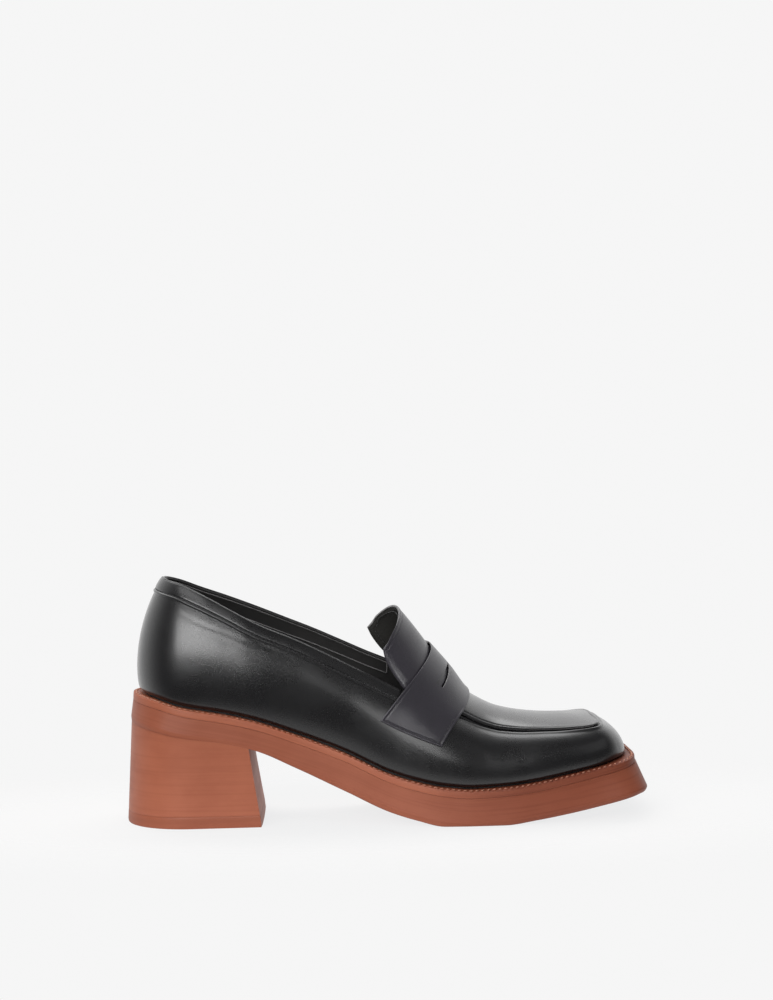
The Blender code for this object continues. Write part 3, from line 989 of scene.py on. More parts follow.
class Workpiece:
    """One piece in the making: a mesh that sheets, cords and stitches are laid into."""

    def __init__(self, name: str) -> None:
        """Starts an empty mesh.

        Args:
            name: The piece's name.
        """
        self.name = name
        self.mesh = bmesh.new()
        self.depth = self.mesh.verts.layers.float.new("depth")

    def lay(self, points: Array, finish: int = 0, depth: Array | None = None) -> None:
        """Lays a grid and moves it onto a sheet of points.

        Args:
            points: The sheet, rows by columns.
            finish: The place of its material.
            depth: How far below the edge each point is, for patterns that follow it.
        """
        rows, columns = points.shape[:2]
        grid = bmesh.ops.create_grid(self.mesh, x_segments=rows - 1, y_segments=columns - 1, size=1.0)
        made = grid["verts"]
        placed = (points - ORIGIN) * MM
        for vertex in made:
            i = round((vertex.co.x + 1) / 2 * (rows - 1))
            j = round((vertex.co.y + 1) / 2 * (columns - 1))
            vertex.co = placed[i, j]
            if depth is not None:
                vertex[self.depth] = depth[i, j]
        for face in {face for vertex in made for face in vertex.link_faces}:
            face.material_index = finish

    def cord(self, path: Array, up: Array, width: float, height: float, finish: int = 0) -> None:
        """Lays a rounded cord along a path, tapered shut at its ends.

        Args:
            path: The cord's middle line.
            up: The direction away from the shoe at each point.
            width: Its half width.
            height: Its half height.
            finish: The place of its material.
        """
        along = np.gradient(path, axis=0)
        along /= np.linalg.norm(along, axis=1, keepdims=True)
        across = np.cross(along, up)
        across /= np.linalg.norm(across, axis=1, keepdims=True)
        turn = np.linspace(0.0, 2 * np.pi, CORD_SIDES + 1)[None, :, None]
        run = travelled(path)
        taper = np.sqrt(np.clip(np.minimum(run, run[-1] - run) / width, 0.0, 1.0))[:, None, None]
        ring = across[:, None] * np.cos(turn) * width + up[:, None] * np.sin(turn) * height
        self.lay(path[:, None] + ring * taper, finish)

    def sew(self, path: Array, up: Array, sewing: Sewing) -> int:
        """Lays a row of stitches along a path.

        Args:
            path: The row's line.
            up: The direction away from the shoe at each point.
            sewing: The stitches.

        Returns:
            How many there are.
        """
        run = travelled(path)
        count = int(run[-1] // sewing.pitch)
        middle = (np.arange(count) + 0.5) * run[-1] / count
        spots = np.stack([np.interp(middle, run, path[:, k]) for k in range(3)], axis=1)
        ways = np.stack([np.interp(middle, run, np.gradient(path[:, k], run)) for k in range(3)], axis=1)
        ups = np.stack([np.interp(middle, run, up[:, k]) for k in range(3)], axis=1)
        for spot, way, lift in zip(spots, ways, ups):
            away = Vector(lift).normalized()
            along = Vector(way).normalized()
            along = Matrix.Rotation(math.radians(sewing.slant), 3, away) @ along
            across = away.cross(along)
            axes = (along * sewing.length / 2, across * sewing.width / 2, away * sewing.width / 2)
            turned = Matrix([[axis[k] * MM for axis in axes] for k in range(3)]).to_4x4()
            centre = Vector((spot - ORIGIN) * MM) - away * sewing.sunk * MM
            bmesh.ops.create_uvsphere(
                self.mesh, u_segments=8, v_segments=5, radius=1.0, matrix=Matrix.Translation(centre) @ turned
            )
        return count

    def finish(
        self,
        materials: Sequence[bpy.types.Material],
        slot: Slot,
        stands_for: str | None = None,
        closed: bool = True,
    ) -> bpy.types.Object:
        """Closes the seams and turns the mesh into a smooth object that rides on the shoe.

        Args:
            materials: The piece's materials, in the order of the finishes laid.
            slot: The record's slot; not used.
            stands_for: The solid that it replaces, if any.
            closed: Whether the mesh is closed already; an open sheet keeps the way it was laid.

        Returns:
            The object.
        """
        bmesh.ops.remove_doubles(self.mesh, verts=self.mesh.verts, dist=MERGE)
        bmesh.ops.dissolve_degenerate(self.mesh, edges=self.mesh.edges, dist=MERGE)
        if closed:
            bmesh.ops.recalc_face_normals(self.mesh, faces=self.mesh.faces)
        data = bpy.data.meshes.new(self.name)
        self.mesh.to_mesh(data)
        self.mesh.free()
        data.shade_smooth()
        data.set_sharp_from_angle(angle=math.radians(SHARP_EDGE))
        for material in materials:
            data.materials.append(material)
        shape = bpy.data.objects.new(self.name, data)
        bpy.context.scene.collection.objects.link(shape)
        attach(shape, "root")
        if stands_for:
            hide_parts(stands_for)
        return shape


def thicken(shape: bpy.types.Object, thickness: float, offset: float, inner: int = 0, edge: int = 0) -> None:
    """Gives a sheet its thickness.

    Args:
        shape: The sheet.
        thickness: In millimetres.
        offset: Outwards (1) or inwards (-1).
        inner: How many places on the inner side's material is.
        edge: How many places on the edge's material is.
    """
    made = shape.modifiers.new("thickness", "SOLIDIFY")
    made.thickness = thickness * MM
    made.offset = offset
    made.use_rim = True
    made.use_even_offset = False
    made.material_offset = inner
    made.material_offset_rim = edge


def slab(
    work: Workpiece,
    outline: Callable[[float], Outline],
    height: Callable[[float, Array, Array], Array],
    levels: Array,
    rows: Array,
    columns: Array,
) -> None:
    """Lays a solid between a top and a bottom face, with a ring of side faces for each further level.

    Args:
        work: The piece.
        outline: Its plan at a level.
        height: The height at a level, by x and y.
        levels: The levels, from the top to the bottom.
        rows: Shares of the length.
        columns: Shares across.
    """

    def level_points(level: float, r: Array, v: Array) -> Array:
        """The points of one level, along the last axis."""
        x, y = outline(level).point(r, v)
        return np.stack((x, y, height(level, x, y)), axis=-1)

    for level in (levels[0], levels[-1]):
        points = level_points(level, rows[:, None], columns[None, :])
        work.lay(points, depth=np.full(points.shape[:2], 0.0))
    side = np.stack([level_points(level, *around(rows, columns)) for level in levels])
    work.lay(side, depth=side[:1, :, 2] - side[..., 2])


@dataclass
class TopLift:
    """The flat wearing piece under the heel."""

    finishes: Finishes
    rounding: float = 0.25
    brink: float = 0.12

    def build(self) -> bpy.types.Object:
        """Builds the lift with a rounded brink.

        Returns:
            The lift.
        """
        work = Workpiece("heel_top_lift")
        levels = np.array((0.0, 0.04, self.brink, 0.3, 0.5, 0.7, 0.86, 0.95, 1.0))

        def outline(level: float) -> Outline:
            """The lift's plan, drawn in at its brinks."""
            above, below = np.clip(1 - level / self.brink, 0, 1), np.clip((level - 0.86) / 0.14, 0, 1)
            return heel_outline(mix(0.88, 1.0, level), inset=float(self.rounding * (above ** 2 + below ** 2)))

        slab(
            work, outline, lambda level, x, y: np.full_like(x, TOP_LIFT * (1 - level)),
            levels, ease(np.linspace(0, 1, 70)), crowd(48),
        )
        return work.finish([self.finishes.top_lift], Slot.HEEL, "top_lift")


def heel_outline(down: float, inset: float = 0.0) -> Outline:
    """The heel's plan, from its seat (0) to the floor (1); its breast reaches further on the medial side.

    Args:
        down: How far down.
        inset: How far it is drawn in.

    Returns:
        The plan.
    """
    half = mix(33.4, 32.2, down) - inset
    return Outline(
        mix(2.2, -0.4, down) + inset, mix(63.4, 69.6, down) - inset, lambda side, x: np.full_like(x, half),
        BACK_CAP, (0.6, 2.0), skew=0.09,
    )


@dataclass
class HeelStack:
    """The stacked block under the seat, with a faint line where each lift meets the next."""

    finishes: Finishes
    lift: float = 5.2
    line_depth: float = 0.02
    line_width: float = 0.22

    def build(self) -> bpy.types.Object:
        """Builds the block.

        Returns:
            The block.
        """
        work = Workpiece("heel_stack")
        foot = TOP_LIFT + LIFT_GAP

        def outline(level: float) -> Outline:
            """The block's plan, drawn in a little at the line between two lifts."""
            high = mix(44.0, foot, level)
            line = bell(np.array((high - foot) % self.lift - self.lift / 2), self.line_width)
            brink = 0.12 * np.clip((level - 0.985) / 0.015, 0, 1) ** 2
            return heel_outline(level * 0.87, inset=float(self.line_depth * line + brink))

        def height(level: float, x: Array, y: Array) -> Array:
            """The height at a level: the sole's underside above, level below."""
            seat = SOLE.at("bottom", np.minimum(x, HEEL_FRONT)) - LIFT_GAP
            return mix(seat - np.maximum(0.0, x - HEEL_FRONT) * 0.5, foot, level)

        slab(work, outline, height, np.linspace(0, 1, 150), ease(np.linspace(0, 1, 70)), crowd(48))
        return work.finish([self.finishes.heel], Slot.HEEL, "heel_block")


@dataclass
class Outsole:
    """The sole under the welt: it stands out towards its lower edge, which is rounded."""

    finishes: Finishes
    edge_round: float = 2.4
    edge_share: float = 0.82

    def build(self) -> bpy.types.Object:
        """Builds the sole.

        Returns:
            The sole.
        """
        work = Workpiece("leather_outsole")
        top = WELT_THICKNESS + SOLE_GAP
        rounded = mix(self.edge_share, 1.0, np.linspace(0.12, 1, 9))
        levels = np.concatenate((np.linspace(0, self.edge_share, 12), rounded))

        def outline(level: float) -> Outline:
            """The sole's plan at a level, with a rounded lower edge and a small brink under the welt."""
            turn = max(0.0, (level - self.edge_share) / (1 - self.edge_share))
            flare = mix(0.15, 1.0, min(1.0, level / self.edge_share)) - 0.15 * turn
            inset = self.edge_round * (1 - math.sqrt(max(0.0, 1 - turn * turn)))
            return Outline(
                SOLE_BACK - flare * SOLE.at("flare", 0.0) * 0.4,
                SOLE_FRONT + flare * SOLE.at("flare", SOLE_FRONT) - inset,
                lambda side, x: SOLE.at(side, x) + flare * SOLE.at("flare", x) - inset * ramp(x, 60.0, 74.0),
                BACK_CAP, (26.0, 4.0),
            )

        def height(level: float, x: Array, y: Array) -> Array:
            """The height at a level: round at the lower edge."""
            turn = max(0.0, (level - self.edge_share) / (1 - self.edge_share))
            down = level if turn == 0 else mix(self.edge_share, 1.0, math.sin(turn * math.pi / 2))
            return mix(SOLE.at("top", x) - top, SOLE.at("bottom", x), down)

        slab(work, outline, height, levels, np.linspace(0, 1, 170), crowd(56))
        return work.finish([self.finishes.sole], Slot.SOLE, "outsole")


@dataclass
class Welt:
    """The strip round the upper, with a wheeled edge and a row of slanted stitches."""

    finishes: Finishes
    inner: float = 10.0
    notch_depth: float = 0.32
    row_inset: float = 1.35
    sewing: Sewing = Sewing(pitch=2.95, length=2.4, width=0.95, slant=28.0, sunk=0.2)

    def build(self) -> list[bpy.types.Object]:
        """Builds the strip and its stitches.

        Returns:
            The strip and the stitches.
        """
        plan = sole_outline(0.0)
        r, v = even_ring(plan, 1500)
        run = travelled(np.stack(plan.point(r, v), axis=1))
        pitch = run[-1] / round(run[-1] / self.sewing.pitch)
        notch = 0.5 - 0.5 * np.cos(2 * np.pi * run / pitch)
        # The section's corners: how far inside the plan, how far up, and how deep the wheel bites there
        section = (
            (self.inner, -3.9, 0.0), (self.inner, 0.0, 0.0),
            (4.4, 0.0, 0.0), (3.2, 0.0, 0.0), (2.6, -0.12, 0.0),
            (2.1, -0.3, 0.1), (1.6, -0.34, 0.3), (1.1, -0.22, 0.7), (0.75, -0.08, 1.0), (0.45, -0.1, 1.0),
            (0.18, -0.26, 1.0), (0.02, -0.55, 0.8), (-0.06, -1.0, 0.4), (-0.12, -1.8, 0.0), (-0.2, -2.8, 0.0),
            (-0.22, -3.6, 0.0), (-0.2, -3.93, 0.0), (0.1, -3.96, 0.0), (self.inner, -3.9, 0.0),
        )
        sheet = []
        for inset, drop, wheeled in section:
            x, y = sole_outline(inset).point(r, v)
            z = SOLE.at("top", x) + drop - wheeled * self.notch_depth * notch
            sheet.append(np.stack((x, y, z), axis=-1))
        points = np.stack(sheet)
        depth = np.array([-drop for _, drop, _ in section])[:, None]
        work = Workpiece("stitched_welt")
        work.lay(points, depth=np.broadcast_to(depth, points.shape[:2]))
        strip = work.finish([self.finishes.welt], Slot.WELT, "welt")

        x, y = sole_outline(self.row_inset).point(r, v)
        path = np.stack((x, y, SOLE.at("top", x)), axis=-1)
        rows = Workpiece("welt_stitches")
        count = rows.sew(path, np.tile(UP, (len(path), 1)), self.sewing)
        LOG.info("welt: %d stitches", count)
        return [strip, rows.finish([self.finishes.pale_thread], Slot.WELT)]


@dataclass
class Footbed:
    """The cupped footbed inside the upper."""

    finishes: Finishes
    cup: float = 1.1
    ends: tuple[float, float] = (9.4, 252.4)
    play: float = 0.1
    brink: float = 0.5

    def build(self) -> bpy.types.Object:
        """Builds the footbed.

        Returns:
            The footbed.
        """
        work = Workpiece("footbed")
        inset = WELT_MARGIN + UPPER_WALL + self.play

        def outline(level: float) -> Outline:
            """The footbed's plan, drawn in at its upper brink."""
            shrink = self.brink * max(0.0, 1 - level / 0.3) ** 2
            back, front = self.ends[0] + shrink, self.ends[1] - shrink
            return Outline(
                back, front, lambda side, x: SOLE.at(side, x) - inset - shrink, (27.0, 2.2), (24.0, 2.9)
            )

        def height(level: float, x: Array, y: Array) -> Array:
            """The height at a level: the top dips towards the middle of the heel and the foot."""
            half = np.maximum(SOLE.at("medial", x) - inset, 1.0)
            dish = self.cup * (1 - np.clip(np.abs(y) / half, 0, 1) ** 2) * ramp(x, 0.0, 30.0)
            return SOLE.at("top", x) + GAP + INSOLE_THICKNESS * (1 - level) - dish * (1 - level)

        slab(work, outline, height, np.array((0.0, 0.1, 0.3, 0.6, 1.0)), np.linspace(0, 1, 150), crowd(56))
        return work.finish([self.finishes.lining], Slot.LINING, "insole")


@dataclass(frozen=True)
class Crease:
    """A soft fold on the wall: its line by x and share of the wall's height, its depth and its width."""

    side: Side
    line: tuple[tuple[float, float], ...]
    depth: float
    width: float

    def relief(self, x: Array, v: Array, t: Array, height: Array) -> Array:
        """How far the fold moves the wall.

        Args:
            x: Places along the shoe.
            v: Shares across.
            t: Shares up the wall.
            height: The wall's height there.

        Returns:
            The move outwards: negative in a trough.
        """
        nearest = np.full(np.broadcast(x, t).shape, 1e9)
        faded = np.zeros_like(nearest)
        knots = np.array(self.line, float)
        run = travelled(knots * (1.0, 60.0))
        for k in range(len(knots) - 1):
            (x0, t0), (x1, t1) = knots[k], knots[k + 1]
            dx, dt = x1 - x0, (t1 - t0) * height
            s = np.clip(((x - x0) * dx + (t - t0) * height * dt) / (dx * dx + dt * dt), 0.0, 1.0)
            away = np.hypot(x - x0 - s * dx, (t - t0) * height - s * dt)
            along = mix(run[k], run[k + 1], s) / run[-1]
            closer = away < nearest
            faded = np.where(closer, np.clip(np.sin(np.pi * np.clip(along, 0.02, 0.98)), 0, 1) ** 0.6, faded)
            nearest = np.where(closer, away, nearest)
        on_side = (v < 0) if self.side is Side.LATERAL else (v > 0)
        return -self.depth * bell(nearest, self.width) * faded * on_side


@dataclass
class Upper:
    """The leather skin over the last: wall, forefoot and lining, with its creases."""

    finishes: Finishes
    rows: int = 220
    across: int = 60
    up: int = 56
    tuck: float = 1.5
    tuck_share: float = 0.06
    lip: float = 0.7
    lip_side: float = 0.45
    lip_at: float = 0.9
    creases: tuple[Crease, ...] = (
        Crease(Side.LATERAL, ((22.0, 0.80), (38.0, 0.765), (56.0, 0.78), (74.0, 0.80)), 0.12, 1.0),
        Crease(Side.LATERAL, ((30.0, 0.69), (46.0, 0.70), (66.0, 0.70)), 0.08, 1.3),
        Crease(Side.LATERAL, ((58.0, 0.86), (70.0, 0.81), (84.0, 0.80)), 0.1, 1.0),
        Crease(Side.MEDIAL, ((24.0, 0.80), (40.0, 0.77), (62.0, 0.78)), 0.14, 1.2),
        Crease(Side.MEDIAL, ((52.0, 0.86), (68.0, 0.82), (82.0, 0.81)), 0.1, 1.2),
        Crease(Side.LATERAL, ((168.0, 0.62), (176.0, 0.48), (181.0, 0.34)), 0.16, 3.0),
        Crease(Side.MEDIAL, ((166.0, 0.66), (174.0, 0.5), (180.0, 0.34)), 0.18, 3.0),
        Crease(Side.MEDIAL, ((118.0, 0.42), (128.0, 0.34), (138.0, 0.3)), 0.2, 3.2),
    )

    def build(self) -> bpy.types.Object:
        """Builds the skin.

        Returns:
            The skin.
        """
        sides = np.concatenate((
            THROAT_R * ease(np.linspace(0, 1, int(self.rows * 0.56)))[:-1],
            mix(THROAT_R, 1.0, ease(np.linspace(0, 1, int(self.rows * 0.44)))),
        ))
        columns = crowd(self.across)
        r, v = around(sides, columns)
        t = ease(np.linspace(0, 1, self.up + 1))[:, None]
        points = wall(r[None, :], v[None, :], t)
        high = wall_height(r, v)[None, :]
        relief = sum(crease.relief(points[..., 0], v[None, :], t, high) for crease in self.creases)
        relief = relief - self.tuck * np.clip(1 - t / self.tuck_share, 0, 1) ** 2
        below = (1 - t) * high
        sewn = ramp(r, FRONT_R - 0.02, FRONT_R + 0.05)[None, :]
        toe = ramp(points[..., 0], 215.0, 240.0)
        relief = relief + sewn * mix(self.lip_side, self.lip, toe) * bell(below - self.lip_at, 0.9)
        relief = relief * np.clip(below / 0.6, 0, 1)
        work = Workpiece("leather_upper")
        work.lay(raised(points, relief))
        work.lay(arch(sides[sides >= THROAT_R - 1e-9][:, None], columns[None, :]))
        materials = [self.finishes.upper, self.finishes.lining]
        skin = work.finish(materials, Slot.UPPER, "upper", closed=False)
        thicken(skin, UPPER_WALL, -1.0, inner=1)
        return skin


@dataclass
class Collar:
    """What goes round the opening: the folded band outside, two beads on the topline, the facing inside."""

    finishes: Finishes
    band_lift: float = 0.5
    ridge_at: float = 0.75
    groove_at: float = 1.75
    facing_height: float = 7.6
    facing_thickness: float = 0.6
    outer_bead: float = 0.38
    inner_bead: float = 0.5
    bead_end_x: float = 140.0
    facing_end_x: float = 136.0
    edge_seat: float = UPPER_WALL + 0.45
    edge_size: tuple[float, float] = (0.3, 0.5)
    sewing: Sewing = Sewing(pitch=2.1, length=1.7, width=0.42, sunk=0.05)

    def spots(self, last: float) -> tuple[Array, Array]:
        """The places along the topline, from one end round the heel to the other.

        Args:
            last: The share of the length at which it ends.

        Returns:
            The shares r and v.
        """
        sides = last * ease(np.linspace(0, 1, 130))
        back = crowd(56)
        r = np.concatenate((sides[::-1], np.zeros(len(back) - 1), sides[1:]))
        v = np.concatenate((-np.ones(len(sides)), back[1:], np.ones(len(sides) - 1)))
        return r, v

    def below_rim(self, r: Array, v: Array, depth: Array) -> Array:
        """The wall's points at each row's depth below the rim, the lowest row first."""
        return wall(r[None, :], v[None, :], 1 - depth / wall_height(r, v)[None, :])

    def band(self) -> bpy.types.Object:
        """The folded band, with a fine ridge and a sewn groove along its lower edge.

        Returns:
            The band.
        """
        r, v = self.spots(BAND_END_R)
        depth = BAND_HEIGHT - (BAND_HEIGHT - 0.35) * np.linspace(0, 1, 40)[:, None] ** 1.25
        points = self.below_rim(r, v, depth)
        inside = BAND_HEIGHT - depth
        fade = 1 - 0.6 * ramp(points[..., 0], 88.0, 125.0)
        relief = self.band_lift * (1 - 0.6 * np.clip(1 - inside / 0.35, 0, 1) ** 2)
        relief = relief + 0.22 * bell(inside - self.ridge_at, 0.4) - 0.45 * bell(inside - self.groove_at, 0.4)
        relief = relief + 0.15 * np.sin(np.pi * np.clip((inside - 2.2) / (BAND_HEIGHT - 2.2), 0, 1)) ** 0.8
        work = Workpiece("collar_band_fold")
        work.lay(raised(points, 0.15 + relief * fade))
        materials = [self.finishes.upper, self.finishes.cut_edge]
        shape = work.finish(materials, Slot.UPPER, "collar_band", closed=False)
        thicken(shape, 0.7, -1.0)
        return shape

    def stitches(self) -> bpy.types.Object:
        """The row of stitches in the band's groove, which runs on to the strap.

        Returns:
            The row.
        """
        r, v = self.spots(BAND_END_R)
        depth = BAND_HEIGHT - np.array(((0.0,), (self.groove_at,), (3.0,)))
        points = self.below_rim(r, v, depth)
        up = normals(points)[1]
        lift = 0.15 + (self.band_lift - 0.4) * (1 - 0.6 * ramp(points[1, :, 0], 88.0, 125.0)) + 0.12
        work = Workpiece("collar_stitches")
        work.sew(points[1] + up * lift[:, None], up, self.sewing)
        return work.finish([self.finishes.black_thread], Slot.UPPER)

    def beads(self) -> bpy.types.Object:
        """The two rolled edges on the topline: the upper's outside and the lining's inside.

        Returns:
            The beads.
        """
        r, v = self.spots(COLLAR.share(self.bead_end_x))
        points = self.below_rim(r, v, np.array(((1.0,), (0.5,), (0.0,))))
        up = normals(points)[1]
        work = Workpiece("topline_beads")
        top = np.tile(UP, (len(up), 1))
        work.cord(points[2] - up * 0.15, top, self.outer_bead, self.outer_bead)
        work.cord(points[2] - up * (UPPER_WALL - 0.3), top, self.inner_bead, self.inner_bead, finish=1)
        return work.finish([self.finishes.upper, self.finishes.lining], Slot.UPPER)

    def facing(self) -> bpy.types.Object:
        """The lining's facing strip inside the topline.

        Returns:
            The facing.
        """
        r, v = self.spots(COLLAR.share(self.facing_end_x))
        depth = self.facing_height - (self.facing_height - 0.7) * np.linspace(0, 1, 16)[:, None]
        points = self.below_rim(r, v, depth)
        work = Workpiece("lining_facing")
        work.lay(raised(points, -UPPER_WALL - 0.12))
        shape = work.finish([self.finishes.lining, self.finishes.cut_edge], Slot.LINING, closed=False)
        thicken(shape, self.facing_thickness, -1.0, edge=1)
        return shape

    def facing_edge(self) -> bpy.types.Object:
        """The pale cut edge along the foot of the facing, turned up to the topline at its ends.

        Returns:
            The edge.
        """
        r, v = self.spots(COLLAR.share(self.facing_end_x))
        points = self.below_rim(r, v, self.facing_height + np.array(((0.5,), (0.0,), (-0.5,))))
        up = -normals(points)[1]
        work = Workpiece("facing_edge")
        work.cord(points[1] + up * self.edge_seat, up, *self.edge_size)
        for end in (0, -1):
            depth = np.linspace(self.facing_height, 0.8, 20)
            rise = wall(r[end], v[end], 1 - depth / wall_height(r[[end]], v[[end]]))
            work.cord(rise + up[end] * self.edge_seat, np.tile(up[end], (20, 1)), *self.edge_size)
        return work.finish([self.finishes.cut_edge], Slot.LINING)

    def build(self) -> list[bpy.types.Object]:
        """Builds all of it."""
        return [self.band(), self.stitches(), self.beads(), self.facing(), self.facing_edge()]


@dataclass
class Apron:
    """The raised plug on top of the toes, inside its sewn seam."""

    finishes: Finishes
    hem: Hem = Hem(brink=1.3, drop=0.5, groove_at=1.9, groove_depth=0.35, groove_width=0.4, puff=0.1)
    sewing: Sewing = Sewing(pitch=2.2, length=1.8, width=0.42, sunk=0.02)
    edge: float = 0.985
    front: float = 0.999
    thickness: float = 0.9
    half_run: float = 33.0
    turn_length: float = 2.2
    turn_width: float = 2.4

    def build(self) -> list[bpy.types.Object]:
        """Builds the plug and its stitches.

        Returns:
            The pieces.
        """
        rear = COLLAR.share(STRAP_FRONT_X - 6.0)
        rows = mix(rear, self.front, ease(np.linspace(0, 1, 130)))[:, None]
        columns = np.unique(np.clip(crowd(120), -self.edge, self.edge))[None, :]
        points = arch(rows, columns)
        relief = GAP + OVERLAY_THICKNESS + self.hem.relief(to_edges(points, rear=False, front=True))
        work = Workpiece("toe_apron")
        work.lay(raised(points, relief))
        materials = [self.finishes.upper, self.finishes.cut_edge]
        plug = work.finish(materials, Slot.UPPER, "apron", closed=False)
        thicken(plug, self.thickness, -1.0, edge=1)

        inset_v = self.hem.groove_at / self.half_run
        inset_r = self.hem.groove_at / (COLLAR.end - COLLAR.start)
        v_max = self.edge - inset_v
        turn_r = self.front - inset_r * (1 + self.turn_length)
        turn_v = v_max - inset_v * self.turn_width
        turn = np.linspace(0, np.pi / 2, 24)[1:-1]
        side = np.linspace(rear, turn_r, 160)
        over = np.linspace(-turn_v, turn_v, 60)
        corner_r = turn_r + inset_r * self.turn_length * np.sin(turn)
        corner_v = v_max - inset_v * self.turn_width * (1 - np.cos(turn))
        front = np.full_like(over, self.front - inset_r)
        flank = np.full_like(side, v_max)
        r = np.concatenate((side, corner_r, front, corner_r[::-1], side[::-1]))
        v = np.concatenate((-flank, -corner_v, over, corner_v[::-1], flank))
        path, up = lifted(arch, r, v, GAP + OVERLAY_THICKNESS - self.hem.groove_depth + 0.12)
        rows_of_thread = Workpiece("apron_stitches")
        rows_of_thread.sew(path, up, self.sewing)
        return [plug, rows_of_thread.finish([self.finishes.black_thread], Slot.UPPER)]


@dataclass
class Tongue:
    """The tongue, rooted under the strap and flared into two round ears above it."""

    finishes: Finishes
    hem: Hem = Hem(brink=0.4, drop=0.15, groove_at=2.4, groove_depth=0.26, groove_width=0.45, puff=0.1)
    sewing: Sewing = Sewing(pitch=2.2, length=1.8, width=0.42, sunk=0.02)
    root_x: float = 152.0
    corner: float = 0.04
    row_reach: float = 0.985
    row_top: float = 0.93
    row_drop: float = 0.13

    def build(self) -> list[bpy.types.Object]:
        """Builds the tongue and its stitches.

        Returns:
            The pieces.
        """
        columns = crowd(110)[None, :]
        tip = 1 - self.corner * ramp(np.abs(columns), 0.9, 1.0) ** 2
        free = tongue(np.linspace(0, 1, 90)[:, None] * tip, columns)
        bases = np.linspace(self.root_x, STRAP_REAR_X, 24)[:-1]
        clipped = columns * mix(1.0, 0.97, ramp(bases, STRAP_REAR_X, STRAP_REAR_X + 5.0))[:, None]
        rooted = arch(COLLAR.share(bases)[:, None], clipped)
        points = np.concatenate((rooted, free))[::-1]
        relief = GAP + OVERLAY_THICKNESS + self.hem.relief(to_edges(points, rear=True, front=False))
        work = Workpiece("leather_tongue")
        work.lay(raised(points, relief))
        materials = [self.finishes.strap, self.finishes.tongue_lining, self.finishes.cut_edge]
        skin = work.finish(materials, Slot.STRAP, "tongue", closed=False)
        thicken(skin, OVERLAY_THICKNESS, -1.0, inner=1, edge=2)

        side = np.linspace(0.02, self.row_top - self.row_drop, 60)
        flank = np.full_like(side, self.row_reach)
        over = crowd(100) * self.row_reach
        top = self.row_top - self.row_drop * ramp(np.abs(over), 0.85, self.row_reach) ** 2
        share = np.concatenate((side, top, side[::-1]))
        u = np.concatenate((-flank, over, flank))
        path, up = lifted(tongue, share, u, GAP + OVERLAY_THICKNESS - 0.12)
        rows_of_thread = Workpiece("tongue_stitches")
        rows_of_thread.sew(path, up, self.sewing)
        return [skin, rows_of_thread.finish([self.finishes.black_thread], Slot.STRAP)]


